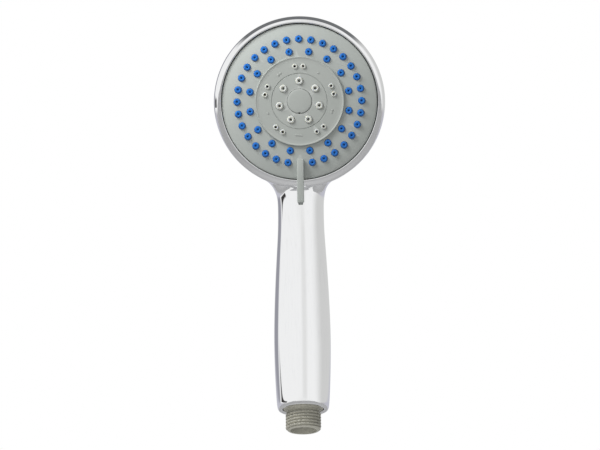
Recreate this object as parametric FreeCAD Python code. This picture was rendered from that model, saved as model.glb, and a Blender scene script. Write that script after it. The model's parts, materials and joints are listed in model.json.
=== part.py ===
"""Handheld shower head with five spray modes, as an assembly of separate parts.

World frame: the origin is the centre of the hose thread's end face, +Z runs up the lower handle,
and the spray face looks towards -Y. Head parts are built in the head frame: its origin is the centre
of the face plate's front, its +Z is the spray direction and its +Y points up the face, away from
the handle. Lengths are millimetres, angles are degrees.
"""
import FreeCAD, Part
import math
import os

from FreeCAD import Placement, Rotation, Vector

# ---------------------------------------------------------------- head and handle: overall sizes
head_radius = 52.0            # outside of the chrome head
head_edge_radius = 22.0       # rounding between the rim and the domed back
head_back_radius = 75.0       # sphere of the domed back
head_edge_depth = 4.5         # from the face plane back to the widest point
lip_width = 4.6               # chrome lip around the face plate
lip_drop = 0.2                # lip crest below the face plane
lip_thickness = 3.8
shell_wall = 2.6

face_tilt = 20.5              # face plane against the lower handle axis
handle_bend = 9.0             # how far the handle curves forward on its way up
straight_length = 70.0        # straight lower run of the handle axis
bend_length = 70.0            # curved run
neck_length = 11.5            # straight run from the curve to below the rim
handle_end = 12.3             # height of the handle's lower end above the thread's end
handle_end_rounding = 2.4
loft_degree = 3               # cubic skin, which follows the sections without swelling

# half width and half depth of the handle at stations along its axis
handle_sections = [
    (handle_end, 15.2, 15.2),
    (36.0, 16.2, 16.2),
    (58.0, 16.6, 16.6),
    (85.0, 15.9, 15.9),
    (115.0, 14.4, 14.4),
    (134.0, 13.9, 13.9),
    (144.0, 14.4, 13.9),
    (150.0, 15.9, 13.5),
    (156.0, 18.9, 12.8),
    (167.0, 21.0, 12.2),
    (181.0, 18.0, 9.6),
    (192.0, 13.0, 5.6),
]

# ---------------------------------------------------------------- fits and clearances
turn_clearance = 0.05         # running fit, radial
slide_clearance = 0.06        # sliding pieces in their bores, radial
seat_clearance = 0.05         # pieces that sit in a recess, radial
face_gap = 0.3                # moving face plate inside the lip, radial
rotor_gap = 0.4               # rotor behind face to the fixed manifold
end_float = 0.1               # axial play of the rotor under its washer
touch_gap = 0.1               # sprung pieces off the rotor at rest

# ---------------------------------------------------------------- hose connection
thread_major_radius = 10.4775  # G1/2
thread_pitch = 1.814
thread_depth = 1.16
thread_crest = 0.45
thread_ridges = 5
thread_chamfer = 0.4
collar_start = 12.9
collar_radius = 11.9
collar_neck_radius = 10.1
collar_end = 32.0
inlet_radius = 7.8
inlet_depth = 13.0
screen_depth = 8.2
screen_thickness = 1.0
screen_hole_radius = 0.5
screen_hole_step = 1.9
restrictor_holes = 6
restrictor_hole_radius = 1.0
restrictor_hole_circle = 4.2
restrictor_floor = 2.4
ring_section = 0.9            # radius of the large O-ring's section
ring_height = 24.0            # where the large O-ring sits on the connector
small_ring_section = 0.55     # radius of the waterway O-rings' section

tube_radius = 4.5
tube_bore = 3.3
socket_depth = 11.0
socket_wall = 1.3
socket_mouth_wall = 2.3
mouth_length = 3.0

# ---------------------------------------------------------------- face plate and nozzles
plate_thickness = 3.0
plate_flat_radius = 33.5
plate_edge_drop = 1.5
skirt_wall = 1.2
skirt_overlap = 0.4           # skirt beyond the rear of the chamber plate
mat_thickness = 1.2
outer_ring_radius = 37.7
outer_ring_places = 32
inner_ring_radius = 30.4
inner_ring_places = 16
nozzle_radius = 2.15
nozzle_height = 0.9
nozzle_bore = 0.5
mat_inner_radius = 27.6

disc_radius = 27.0
disc_height = 1.2
disc_rim_width = 1.0
disc_rim_height = 0.4
disc_seat_depth = 1.6
disc_seat_width = 1.8
disc_groove_margin = 2.1      # from the jets' edge out to the fine groove
disc_groove_width = 0.4
disc_groove_depth = 0.25
pair_ring_radius = 21.2
pair_count = 5
pair_half_gap = 2.57
pair_rim_radius = 1.6
pair_rim_height = 0.8
pair_bore = 0.65
jet_margin = 0.9              # from the hub out to the jets' edge
jet_count = 7
jet_radius = 2.4
jet_bore = 0.9
jet_height = 0.9

cap_overlap = 0.1             # cap's edge beyond the counterbore under it
cap_gap = 0.2
cap_height = 0.5
cap_thickness = 1.4
cap_clip_wall = 0.7
cap_clip_reach = 0.4          # clip beyond the plate's thickness, into the hub
cap_notch_width = 1.6

lever_width = 4.2
lever_start = 35.0
lever_reach = 61.2
lever_thickness = 2.4
lever_lift = 0.75             # underside above the face plane
lever_foot_end = 46.2
lever_foot_depth = 2.0

# ---------------------------------------------------------------- rotor behind the face
chamber_floor = 1.5
chamber_wall = 1.5
jet_chamber_margin = 1.2      # from the jets' edge out to their chamber's wall
rotor_radius = 40.2
rotor_thickness = 4.0
socket_gap = 0.5              # manifold socket behind the rotor's edge
channel_depth = 1.8
channel_width = 4.4
port_circle = 24.0
port_radius = 2.2
click_angle = 22.5
hub_wall = 1.7
hub_shoulder = 8.0            # depth of the shoulder under the washer
washer_room = 0.3             # counterbore around the washer, radial

turbine_side_gap = 0.4
turbine_ring_wall = 1.0
turbine_thickness = 2.3
turbine_plate = 0.7
turbine_vanes = 8
turbine_vane_thickness = 0.8
turbine_shutter_angle = 150.0
turbine_float = 0.3
swirl_thickness = 1.2
swirl_jets = 6
swirl_jet_radius = 0.9
swirl_jet_lean = 45.0

# ---------------------------------------------------------------- fixed manifold
manifold_radius = 38.0
manifold_thickness = 3.4
boss_radius = 5.0
insert_radius = 3.0
insert_length = 7.0
screw_radius = 2.0
screw_head_radius = 3.6
screw_head_height = 2.2
screw_end_gap = 0.5
washer_radius = 7.0
washer_thickness = 1.0
seal_radius = 4.4
seal_bore = 2.4
seal_length = 3.8
port_housing_wall = 1.5
port_cavity_depth = 10.0      # below the manifold's front
port_housing_floor = 1.8
spring_wire = 0.3             # radius of the springs' wire
port_spring_radius = 3.6
spring_turns = 5
detent_circle = 30.0
detent_radius = 1.5
detent_length = 4.6
detent_cavity_depth = 8.6
detent_housing_wall = 1.7
detent_floor = 1.2
detent_turns = 3
dimple_radius = 1.9
dimple_depth = 0.75

mount_circle = 33.0
mount_angles = [40.0, 140.0, -155.0, -25.0]
mount_boss_radius = 3.6
mount_screw_radius = 1.3
mount_head_radius = 2.8
mount_head_height = 1.5
mount_head_recess = 1.8
mount_screw_length = 7.4

# ---------------------------------------------------------------- derived places
UP = Vector(0, 0, 1)
SIDE = Vector(1, 0, 0)
neck_tilt = face_tilt - handle_bend
bend_radius = bend_length / math.radians(handle_bend)

face_edge_radius = head_radius - lip_width - face_gap
lip_inner_radius = head_radius - lip_width
plate_rear = -plate_thickness
mat_rear = plate_rear - mat_thickness
chamber_inner = mat_rear - turbine_thickness - 2 * turbine_float - swirl_thickness
chamber_rear = chamber_inner - chamber_floor
skirt_rear = chamber_rear - skirt_overlap
rotor_rear = chamber_rear - rotor_thickness
manifold_front = rotor_rear - rotor_gap
manifold_rear = manifold_front - manifold_thickness
washer_rear = -hub_shoulder + end_float
socket_radius = tube_radius + socket_wall
neck_depth = (socket_radius / math.cos(math.radians(neck_tilt)) - manifold_front + socket_gap
              - (head_radius - rotor_radius) * math.tan(math.radians(neck_tilt)))

hub_counterbore = washer_radius + washer_room
hub_radius = hub_counterbore + hub_wall
cap_radius = hub_counterbore + cap_overlap
cap_clip_depth = plate_thickness + cap_clip_reach
jet_ring_radius = hub_radius + jet_margin + jet_radius
disc_groove_radius = jet_ring_radius + jet_radius + disc_groove_margin
jet_chamber_radius = jet_ring_radius + jet_radius + jet_chamber_margin
turbine_outer_radius = jet_chamber_radius - turbine_side_gap
disc_lower_radius = disc_radius - disc_seat_width - seat_clearance
chamber_radius = face_edge_radius - skirt_wall - seat_clearance
middle_wall_radius = (outer_ring_radius + inner_ring_radius - chamber_wall) / 2
wall_radii = [chamber_radius - chamber_wall, middle_wall_radius, disc_lower_radius,
              jet_chamber_radius]

outer_feed = outer_ring_radius - 0.8
mode_targets = [[outer_feed], [inner_ring_radius], [outer_feed, jet_ring_radius],
                [pair_ring_radius], [jet_ring_radius]]
rest_click = len(mode_targets) // 2


def axis_place(station):
    """Point and unit direction of the handle axis at a distance along it from the thread's end."""
    if station <= straight_length:
        return Vector(0, 0, station), Vector(0, 0, 1)
    turned = min(station - straight_length, bend_length) / bend_radius
    point = Vector(0, -bend_radius * (1 - math.cos(turned)),
                   straight_length + bend_radius * math.sin(turned))
    direction = Vector(0, -math.sin(turned), math.cos(turned))
    beyond = max(station - straight_length - bend_length, 0.0)
    return point + direction * beyond, direction


rim_station = straight_length + bend_length + neck_length
spray = Vector(0, -math.cos(math.radians(face_tilt)), -math.sin(math.radians(face_tilt)))
face_up = Vector(0, -math.sin(math.radians(face_tilt)), math.cos(math.radians(face_tilt)))
face_centre = axis_place(rim_station)[0] + face_up * head_radius + spray * neck_depth
head_frame = Placement(face_centre, Rotation(SIDE, 90 + face_tilt))
neck_direction = Vector(0, math.cos(math.radians(neck_tilt)), -math.sin(math.radians(neck_tilt)))
neck_point = Vector(0, -head_radius, -neck_depth)


# ---------------------------------------------------------------- small helpers
def cylinder(radius, low, high, centre=Vector(0, 0, 0)):
    """Upright cylinder between two heights around a centre."""
    return Part.makeCylinder(radius, high - low, Vector(centre.x, centre.y, low), UP)


def ring(inner, outer, low, high):
    """Flat ring around the Z axis."""
    return cylinder(outer, low, high).cut(cylinder(inner, low, high))


def revolved(points):
    """Solid turned around the Z axis from (radius, height) points."""
    corners = [Vector(radius, 0, height) for radius, height in points]
    outline = Part.makePolygon(corners + corners[:1])
    return Part.Face(outline).revolve(Vector(0, 0, 0), UP, 360)


def turned_profile(edges):
    """Solid turned around the Z axis from a closed loop of edges."""
    return Part.Face(Part.Wire(edges)).revolve(Vector(0, 0, 0), UP, 360)


def torus(centre_radius, section_radius, height=0.0):
    """O-ring around the Z axis."""
    return Part.makeTorus(centre_radius, section_radius, Vector(0, 0, height), UP)


def polar(radius, angle):
    """Point of the head frame's XY plane at a radius and an angle from +X."""
    return Vector(radius * math.cos(math.radians(angle)), radius * math.sin(math.radians(angle)), 0)


def spread(radius, count, start, skipped=()):
    """Evenly spaced points on a circle, without the places that are skipped."""
    step = 360.0 / count
    return [polar(radius, start + step * place) for place in range(count) if place not in skipped]


def joined(shapes):
    """One solid out of several overlapping ones."""
    return shapes[0].multiFuse(shapes[1:]).removeSplitter()


def in_head(shape):
    """A head-frame shape set into the world frame."""
    placed = shape.copy()
    placed.Placement = head_frame.multiply(placed.Placement)
    return placed


def along_neck(radius, low, high):
    """Cylinder on the neck axis, in the head frame, between two distances up from below the rim."""
    return Part.makeCylinder(radius, high - low, neck_point + neck_direction * low, neck_direction)


def coil(radius, turns, low, high, centre):
    """Compression spring between two heights."""
    height = high - low - 2 * spring_wire
    path = Part.makeHelix(height / turns, height, radius)
    section = Part.Wire(Part.Circle(Vector(radius, 0, 0), Vector(0, 1, 0), spring_wire).toShape())
    spring = Part.Wire(path.Edges).makePipeShell([section], True, True)
    spring.translate(Vector(centre.x, centre.y, low + spring_wire))
    return spring


# ---------------------------------------------------------------- body
def head_back_centre():
    """Height of the centre of the sphere that forms the head's back, tangent to its edge."""
    reach = head_back_radius - head_edge_radius
    return math.sqrt(reach ** 2 - (head_radius - head_edge_radius) ** 2) - head_edge_depth


def bowl(edge_radius, back_radius, top):
    """Domed body of the head: rounded edge, spherical back, flat top."""
    edge_centre = Vector(head_radius - head_edge_radius, 0, -head_edge_depth)
    back_centre_height = head_back_centre()
    lean = math.atan2(edge_centre.x, back_centre_height - edge_centre.z)
    widest = edge_centre + Vector(edge_radius, 0, 0)
    half = (math.pi / 2 - lean) / 2
    middle = edge_centre + Vector(math.cos(half), 0, -math.sin(half)) * edge_radius
    meeting = edge_centre + Vector(math.sin(lean), 0, -math.cos(lean)) * edge_radius
    back_centre = Vector(0, 0, back_centre_height)
    back_middle = back_centre + Vector(math.sin(lean / 2), 0, -math.cos(lean / 2)) * back_radius
    apex = back_centre - Vector(0, 0, back_radius)
    corner = Vector(widest.x, 0, top)
    return turned_profile([
        Part.LineSegment(Vector(0, 0, top), corner).toShape(),
        Part.LineSegment(corner, widest).toShape(),
        Part.Arc(widest, middle, meeting).toShape(),
        Part.Arc(meeting, back_middle, apex).toShape(),
        Part.LineSegment(apex, Vector(0, 0, top)).toShape(),
    ])


def rounded_rim_cut():
    """What is taken off the front of the head to round its lip."""
    half = lip_width / 2
    crest = Vector(head_radius - half, 0, -lip_drop)
    outside = Vector(head_radius, 0, -head_edge_depth)
    inside = Vector(lip_inner_radius, 0, -lip_drop - half)
    outer_way = Vector(head_radius - 0.13 * half, 0, -lip_drop - 0.5 * half)
    inner_way = crest + Vector(-math.sin(math.pi / 4), 0, math.cos(math.pi / 4) - 1) * half
    high = Vector(0, 0, head_edge_depth)
    beyond = Vector(head_edge_depth, 0, 0)
    return turned_profile([
        Part.Arc(outside, outer_way, crest).toShape(),
        Part.Arc(crest, inner_way, inside).toShape(),
        Part.LineSegment(inside, inside + high).toShape(),
        Part.LineSegment(inside + high, outside + high * 2 + beyond).toShape(),
        Part.LineSegment(outside + high * 2 + beyond, outside + beyond).toShape(),
        Part.LineSegment(outside + beyond, outside).toShape(),
    ])


def handle_loft(inset, first, last):
    """Handle body through its sections, drawn in by an inset."""
    wires = []
    for station, half_width, half_depth in handle_sections[first:last]:
        centre, direction = axis_place(station)
        oval = Part.Ellipse(Vector(0, 0, 0), half_width - inset, half_depth - inset).toShape()
        oval.Placement = Placement(centre, Rotation(SIDE, math.degrees(math.asin(-direction.y))))
        wires.append(Part.Wire(oval))
    return Part.makeLoft(wires, True, False, False, loft_degree)


def make_body_shell():
    """Chrome-plated head and handle in one moulding, open at the face and at the lower end."""
    handle = handle_loft(0.0, 0, len(handle_sections))
    end_edges = [edge for edge in handle.Edges if edge.BoundBox.ZMax < handle_end + 0.01]
    handle = handle.makeFillet(handle_end_rounding, end_edges)
    head = in_head(bowl(head_edge_radius, head_back_radius, -lip_drop).cut(rounded_rim_cut()))
    outer = handle.fuse(head)
    inner_head = bowl(head_edge_radius - shell_wall, head_back_radius - shell_wall,
                      -lip_drop - lip_thickness)
    opening = cylinder(lip_inner_radius, -2 * head_edge_depth, head_edge_depth)
    cavity = handle_loft(shell_wall, 1, len(handle_sections))
    bore = cylinder(collar_radius + seat_clearance, handle_end - 1, handle_sections[1][0] + 1)
    hollow = in_head(inner_head.fuse(opening)).fuse(cavity).fuse(bore)
    shell = outer.cut(hollow)
    deep = head_back_centre() - head_back_radius
    posts = [cylinder(mount_boss_radius, deep, manifold_rear, polar(mount_circle, angle))
             for angle in mount_angles]
    posts = [in_head(post).common(outer) for post in posts]
    pilots = [in_head(cylinder(mount_screw_radius, mount_screw_low(), manifold_rear,
                               polar(mount_circle, angle))) for angle in mount_angles]
    return shell.multiFuse(posts).cut(Part.makeCompound(pilots))


def mount_screw_low():
    """Lowest point of the manifold screws, in the head frame."""
    return manifold_front - mount_head_recess - mount_screw_length


# ---------------------------------------------------------------- hose end
def make_inlet_connector():
    """Threaded inlet with the waterway socket at its upper end."""
    root_radius = thread_major_radius - thread_depth
    flank = (thread_pitch - thread_crest) / 2
    points = [(inlet_radius, 0.0), (thread_major_radius - thread_chamfer, 0.0)]
    points.append((thread_major_radius, thread_chamfer))
    height = thread_chamfer
    for ridge in range(thread_ridges):
        points.append((thread_major_radius, height + thread_crest))
        points.append((root_radius, height + thread_crest + flank))
        height += thread_pitch
        if ridge < thread_ridges - 1:
            points.append((thread_major_radius, height))
    points += [
        (root_radius, height + 0.2),
        (collar_neck_radius, height + 0.4),
        (collar_neck_radius, collar_start),
        (collar_radius, collar_start),
        (collar_radius, collar_end),
        (tube_radius + seat_clearance, collar_end),
        (tube_radius + seat_clearance, collar_end - socket_depth),
        (tube_bore, collar_end - socket_depth),
        (tube_bore, inlet_depth),
        (inlet_radius, inlet_depth),
    ]
    groove = ring(collar_radius - 2 * ring_section, collar_radius + 1,
                  ring_height - 1.2 * ring_section, ring_height + 1.2 * ring_section)
    seat = cylinder(tube_radius + 2 * small_ring_section, collar_end - 2.4 * small_ring_section,
                    collar_end)
    return revolved(points).cut(groove).cut(seat)


def make_inlet_screen():
    """Perforated strainer inside the inlet."""
    low = screen_depth
    disc = cylinder(inlet_radius - seat_clearance, low, low + screen_thickness)
    reach = inlet_radius - 3 * screen_hole_radius
    holes = []
    count = int(reach / screen_hole_step)
    for row in range(-count, count + 1):
        for column in range(-count, count + 1):
            place = Vector(row * screen_hole_step, column * screen_hole_step, 0)
            if place.Length < reach:
                holes.append(cylinder(screen_hole_radius, low, low + screen_thickness, place))
    return disc.cut(Part.makeCompound(holes))


def make_flow_restrictor():
    """Plug with a ring of jets that limits the flow, grooved for its O-ring."""
    low = screen_depth + screen_thickness
    plug = cylinder(inlet_radius - seat_clearance, low, inlet_depth)
    middle = (low + inlet_depth) / 2
    groove = ring(inlet_radius - 2 * small_ring_section, inlet_radius + 1,
                  middle - 1.2 * small_ring_section, middle + 1.2 * small_ring_section)
    jets = [cylinder(restrictor_hole_radius, low, inlet_depth, place)
            for place in spread(restrictor_hole_circle, restrictor_holes, 0)]
    recess = cylinder(restrictor_hole_circle + 1.5 * restrictor_hole_radius,
                      low + restrictor_floor, inlet_depth)
    return plug.cut(groove).cut(Part.makeCompound(jets)).cut(recess)


def make_restrictor_ring():
    """O-ring of the flow restrictor."""
    middle = (screen_depth + screen_thickness + inlet_depth) / 2
    return torus(inlet_radius - small_ring_section, small_ring_section, middle)


def make_connector_ring():
    """Large O-ring between the connector and the handle."""
    return torus(collar_radius + seat_clearance - ring_section, ring_section, ring_height)


def make_lower_tube_ring():
    """O-ring at the lower end of the waterway tube."""
    return torus(tube_radius + small_ring_section, small_ring_section,
                 collar_end - 1.2 * small_ring_section)


def waterway(radius):
    """Round bar along the handle axis from the connector's socket to the manifold's."""
    start = axis_place(collar_end - socket_depth)[0]
    end = axis_place(rim_station + tube_top())[0]
    bend_start, bend_middle, bend_end = [axis_place(straight_length + share * bend_length)[0]
                                         for share in (0.0, 0.5, 1.0)]
    path = Part.Wire([
        Part.LineSegment(start, bend_start).toShape(),
        Part.Arc(bend_start, bend_middle, bend_end).toShape(),
        Part.LineSegment(bend_end, end).toShape(),
    ])
    section = Part.Wire(Part.Circle(start, UP, radius).toShape())
    return path.makePipeShell([section], True, False)


def socket_mouth():
    """Distance of the manifold socket's mouth up the neck from below the rim."""
    return head_radius - chamber_radius - mouth_length / 2


def tube_top():
    """Distance of the tube's upper end up the neck from below the rim."""
    return socket_mouth() + socket_depth


def make_waterway_tube():
    """Inner tube that carries the water up the handle."""
    return waterway(tube_radius).cut(waterway(tube_bore))


def make_upper_tube_ring():
    """O-ring at the upper end of the waterway tube."""
    height = socket_mouth() + 1.2 * small_ring_section
    seal = torus(tube_radius + small_ring_section, small_ring_section)
    seal.Placement = Placement(neck_point + neck_direction * height,
                               Rotation(UP, neck_direction))
    return seal


# ---------------------------------------------------------------- manifold
def make_manifold():
    """Fixed valve base: tube socket, sprung port, detent housing and the pivot boss."""
    port = polar(port_circle, -90)
    detent = polar(detent_circle, 90)
    port_low = manifold_front - port_cavity_depth
    detent_low = manifold_front - detent_cavity_depth
    socket_end = (head_radius - port_circle) / math.cos(math.radians(neck_tilt))
    cavity_radius = seal_radius + slide_clearance
    solids = [
        cylinder(manifold_radius, manifold_rear, manifold_front),
        cylinder(boss_radius, manifold_rear, washer_rear),
        cylinder(boss_radius + 1.5, manifold_rear - 1.5, manifold_rear + 1),
        cylinder(cavity_radius + port_housing_wall, port_low - port_housing_floor, manifold_front,
                 port),
        cylinder(detent_radius + slide_clearance + detent_housing_wall,
                 detent_low - detent_floor, manifold_front, detent),
        along_neck(socket_radius, socket_mouth(), socket_end),
        along_neck(tube_radius + socket_mouth_wall, socket_mouth(),
                   socket_mouth() + mouth_length),
    ]
    cuts = [
        cylinder(cavity_radius, port_low, manifold_front + 1, port),
        cylinder(detent_radius + slide_clearance, detent_low, manifold_front + 1, detent),
        along_neck(tube_radius + seat_clearance, socket_mouth() - 1, tube_top()),
        along_neck(tube_bore, tube_top() - 1, socket_end),
        along_neck(tube_radius + 2 * small_ring_section, socket_mouth() - 1,
                   socket_mouth() + 2.4 * small_ring_section),
        cylinder(insert_radius, washer_rear - insert_length, washer_rear + 1),
    ]
    for angle in mount_angles:
        place = polar(mount_circle, angle)
        cuts.append(cylinder(mount_screw_radius + 0.2, manifold_rear - 1, manifold_front, place))
        cuts.append(cylinder(mount_head_radius + 0.3, manifold_front - mount_head_recess,
                             manifold_front + 1, place))
    return joined(solids).cut(Part.makeCompound(cuts))


def make_manifold_screws():
    """The four screws that hold the manifold in the body."""
    screws = []
    for angle in mount_angles:
        place = polar(mount_circle, angle)
        seat = manifold_front - mount_head_recess
        head = cylinder(mount_head_radius, seat, seat + mount_head_height, place)
        slot = Part.makeBox(2 * mount_head_radius, 0.8, 0.8)
        slot.translate(Vector(place.x - mount_head_radius, place.y - 0.4,
                              seat + mount_head_height - 0.8))
        shank = cylinder(mount_screw_radius, mount_screw_low(), seat, place)
        screws.append(head.cut(slot).fuse(shank))
    return Part.makeCompound(screws)


def make_pivot_insert():
    """Brass insert that takes the centre screw."""
    return ring(screw_radius, insert_radius, washer_rear - insert_length, washer_rear)


def make_centre_washer():
    """Washer that keeps the rotor on its boss."""
    return ring(screw_radius + 0.1, washer_radius, washer_rear, washer_rear + washer_thickness)


def make_centre_screw():
    """Pan-head screw on the spray axis."""
    seat = washer_rear + washer_thickness
    head = cylinder(screw_head_radius, seat, seat + screw_head_height)
    head = head.makeFillet(0.7, [e for e in head.Edges
                                 if e.BoundBox.ZMin > seat + screw_head_height - 0.01])
    cross = [Part.makeBox(4.0, 0.8, 1.4, Vector(-2.0, -0.4, seat + screw_head_height - 1.4)),
             Part.makeBox(0.8, 4.0, 1.4, Vector(-0.4, -2.0, seat + screw_head_height - 1.4))]
    shank = cylinder(screw_radius, washer_rear - insert_length + screw_end_gap, seat)
    return head.cut(Part.makeCompound(cross)).fuse(shank)


def make_port_seal():
    """Rubber cup that presses on the rotor and guides the water into one port."""
    front = rotor_rear - touch_gap
    place = polar(port_circle, -90)
    cup = cylinder(seal_radius, front - seal_length, front, place)
    bore = cylinder(seal_bore, front - seal_length, front, place)
    relief = cylinder(seal_radius - 0.8, front - seal_length, front - seal_length + 1.0, place)
    return cup.cut(bore).cut(relief)


def make_port_spring():
    """Spring under the port seal."""
    high = rotor_rear - touch_gap - seal_length + 1.0
    return coil(port_spring_radius - spring_wire, spring_turns,
                manifold_front - port_cavity_depth, high, polar(port_circle, -90))


def make_detent_plunger():
    """Round-nosed plunger that clicks into the rotor."""
    place = polar(detent_circle, 90)
    tip = rotor_rear - touch_gap
    stem = cylinder(detent_radius, tip - detent_length, tip - detent_radius, place)
    nose = Part.makeSphere(detent_radius, Vector(place.x, place.y, tip - detent_radius))
    return joined([stem, nose])


def make_detent_spring():
    """Spring under the detent plunger."""
    return coil(detent_radius - spring_wire, detent_turns,
                manifold_front - detent_cavity_depth, rotor_rear - touch_gap - detent_length,
                polar(detent_circle, 90))


# ---------------------------------------------------------------- rotor
def click_angles():
    """Angle of each mode's port against the fixed port, lowest first."""
    return [click_angle * (place - rest_click) for place in range(len(mode_targets))]


def make_distributor():
    """Rotor valve plate: five ports, their channels, the click dimples and the hub."""
    plate = joined([cylinder(rotor_radius, rotor_rear, chamber_rear),
                    cylinder(hub_radius, rotor_rear, plate_rear)])
    cuts = [cylinder(boss_radius + turn_clearance, rotor_rear - 1, -hub_shoulder),
            cylinder(hub_counterbore, -hub_shoulder, plate_rear + 1)]
    for turn, targets in zip(click_angles(), mode_targets):
        cuts.append(cylinder(port_radius, rotor_rear - 1, chamber_rear, polar(port_circle, turn - 90)))
        for target in targets:
            near, far = sorted((port_circle, target))
            slot = Part.makeBox(far - near, channel_width, channel_depth,
                                Vector(near, -channel_width / 2, chamber_rear - channel_depth))
            slot.rotate(Vector(0, 0, 0), UP, turn - 90)
            cuts.append(slot)
            for end in (near, far):
                cuts.append(cylinder(channel_width / 2, chamber_rear - channel_depth, chamber_rear,
                                     polar(end, turn - 90)))
        dimple = polar(detent_circle, turn + 90)
        cuts.append(Part.makeSphere(dimple_radius, Vector(
            dimple.x, dimple.y, rotor_rear + dimple_depth - dimple_radius)))
    return plate.cut(Part.makeCompound(cuts[:2])).cut(Part.makeCompound(cuts[2:]))


def make_chamber_plate():
    """Ring chambers that feed each group of nozzles."""
    hub_hole = hub_radius + seat_clearance
    floor = ring(hub_hole, chamber_radius, chamber_rear, chamber_inner)
    walls = [ring(inner, inner + chamber_wall, chamber_inner - 0.2, mat_rear)
             for inner in wall_radii]
    holes = [cylinder(port_radius - 0.2, chamber_rear, chamber_inner, polar(target, turn - 90))
             for turn, targets in zip(click_angles(), mode_targets) for target in targets]
    return joined([floor] + walls).cut(Part.makeCompound(holes))


def blue_nozzle_places():
    """Centres of the soft nozzles, without the place under the lever."""
    under_lever = outer_ring_places // 2
    outer = spread(outer_ring_radius, outer_ring_places, 90, skipped=(under_lever,))
    half_step = 180.0 / inner_ring_places
    return outer + spread(inner_ring_radius, inner_ring_places, 90 + half_step)


def pair_places():
    """Centres of the small twin nozzles on the centre disc."""
    places = []
    for number in range(pair_count):
        angle = 90 + 360.0 / pair_count * number
        side = polar(pair_half_gap, angle + 90)
        places += [polar(pair_ring_radius, angle) + side, polar(pair_ring_radius, angle) - side]
    return places


def jet_places():
    """Centres of the massage nozzles around the cap."""
    return spread(jet_ring_radius, jet_count, 90)


def make_nozzle_mat():
    """Soft mat with all the nozzles of the two outer rings."""
    sheet = ring(mat_inner_radius, chamber_radius, mat_rear, plate_rear)
    tips = [cylinder(nozzle_radius, plate_rear - 0.1, nozzle_height, place)
            for place in blue_nozzle_places()]
    bores = [cylinder(nozzle_bore, mat_rear, nozzle_height, place)
             for place in blue_nozzle_places()]
    return sheet.multiFuse(tips).cut(Part.makeCompound(bores))


def make_face_plate():
    """Grey face plate with its skirt, nozzle holes, lever slot and the seat of the centre disc."""
    seat_radius = disc_radius + seat_clearance
    plate = revolved([
        (disc_radius - disc_seat_width, plate_rear),
        (disc_radius - disc_seat_width, -disc_seat_depth),
        (seat_radius, -disc_seat_depth),
        (seat_radius, 0.0),
        (plate_flat_radius, 0.0),
        (face_edge_radius, -plate_edge_drop),
        (face_edge_radius, skirt_rear),
        (face_edge_radius - skirt_wall, skirt_rear),
        (face_edge_radius - skirt_wall, plate_rear),
    ])
    holes = [cylinder(nozzle_radius + seat_clearance, plate_rear, 1, place)
             for place in blue_nozzle_places()]
    slot_half = lever_width / 2 + seat_clearance
    slot = Part.makeBox(2 * slot_half, lever_foot_end - lever_start + 2 * seat_clearance,
                        lever_foot_depth + 1,
                        Vector(-slot_half, -lever_foot_end - seat_clearance, -lever_foot_depth))
    return plate.cut(Part.makeCompound(holes + [slot]))


def make_selector_lever():
    """Lever that turns the face, with a foot set in the plate and a thumb end over the neck."""
    half = lever_width / 2
    top = lever_lift + lever_thickness
    bar = Part.makeBox(lever_width, lever_reach - half - lever_start, lever_thickness,
                       Vector(-half, -lever_reach + half, lever_lift))
    tip = cylinder(half, lever_lift, top, Vector(0, -lever_reach + half, 0))
    foot = Part.makeBox(lever_width, lever_foot_end - lever_start, lever_lift + lever_foot_depth,
                        Vector(-half, -lever_foot_end, -lever_foot_depth))
    lever = joined([bar, tip, foot])
    top_edges = [edge for edge in lever.Edges if edge.BoundBox.ZMin > top - 0.01]
    return lever.makeFillet(0.6, top_edges)


def make_centre_disc():
    """Raised disc with the twin nozzles and the openings for the massage jets and the cap."""
    disc = revolved([
        (cap_radius + cap_gap, plate_rear),
        (cap_radius + cap_gap, disc_height),
        (disc_radius - disc_rim_width, disc_height),
        (disc_radius - disc_rim_width, disc_height + disc_rim_height),
        (disc_radius - 0.3, disc_height + disc_rim_height),
        (disc_radius, disc_height + disc_rim_height - 0.3),
        (disc_radius, -disc_seat_depth),
        (disc_lower_radius, -disc_seat_depth),
        (disc_lower_radius, mat_rear),
        (jet_chamber_radius, mat_rear),
        (jet_chamber_radius, plate_rear),
    ])
    rims = [cylinder(pair_rim_radius, 0, disc_height + pair_rim_height, place)
            for place in pair_places()]
    bores = [cylinder(pair_bore, mat_rear, disc_height + pair_rim_height, place)
             for place in pair_places()]
    openings = [cylinder(jet_radius + seat_clearance, plate_rear, disc_height, place)
                for place in jet_places()]
    groove = ring(disc_groove_radius - disc_groove_width / 2,
                  disc_groove_radius + disc_groove_width / 2,
                  disc_height - disc_groove_depth, disc_height)
    return disc.multiFuse(rims).cut(Part.makeCompound(bores + openings + [groove]))


def make_jet_insert():
    """Soft insert with the seven massage nozzles."""
    sheet = ring(hub_radius + seat_clearance, jet_chamber_radius - seat_clearance,
                 mat_rear, plate_rear)
    tips = [cylinder(jet_radius, plate_rear - 0.1, disc_height + jet_height, place)
            for place in jet_places()]
    bores = [cylinder(jet_bore, mat_rear, disc_height + jet_height, place)
             for place in jet_places()]
    return sheet.multiFuse(tips).cut(Part.makeCompound(bores))


def make_centre_cap():
    """Clip-on cap over the centre screw, with a notch to lift it by."""
    top = disc_height + cap_height
    crown = cylinder(cap_radius, top - cap_thickness, top)
    crown = crown.makeFillet(0.4, [e for e in crown.Edges if e.BoundBox.ZMin > top - 0.01])
    clip = ring(hub_counterbore - seat_clearance - cap_clip_wall, hub_counterbore - seat_clearance,
                top - cap_thickness - cap_clip_depth, top - cap_thickness + 0.1)
    notch = Part.makeBox(cap_notch_width, cap_notch_width, cap_thickness,
                         Vector(-cap_notch_width / 2, -cap_radius - cap_notch_width / 2,
                                top - cap_thickness / 2))
    return crown.fuse(clip).cut(notch)


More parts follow.
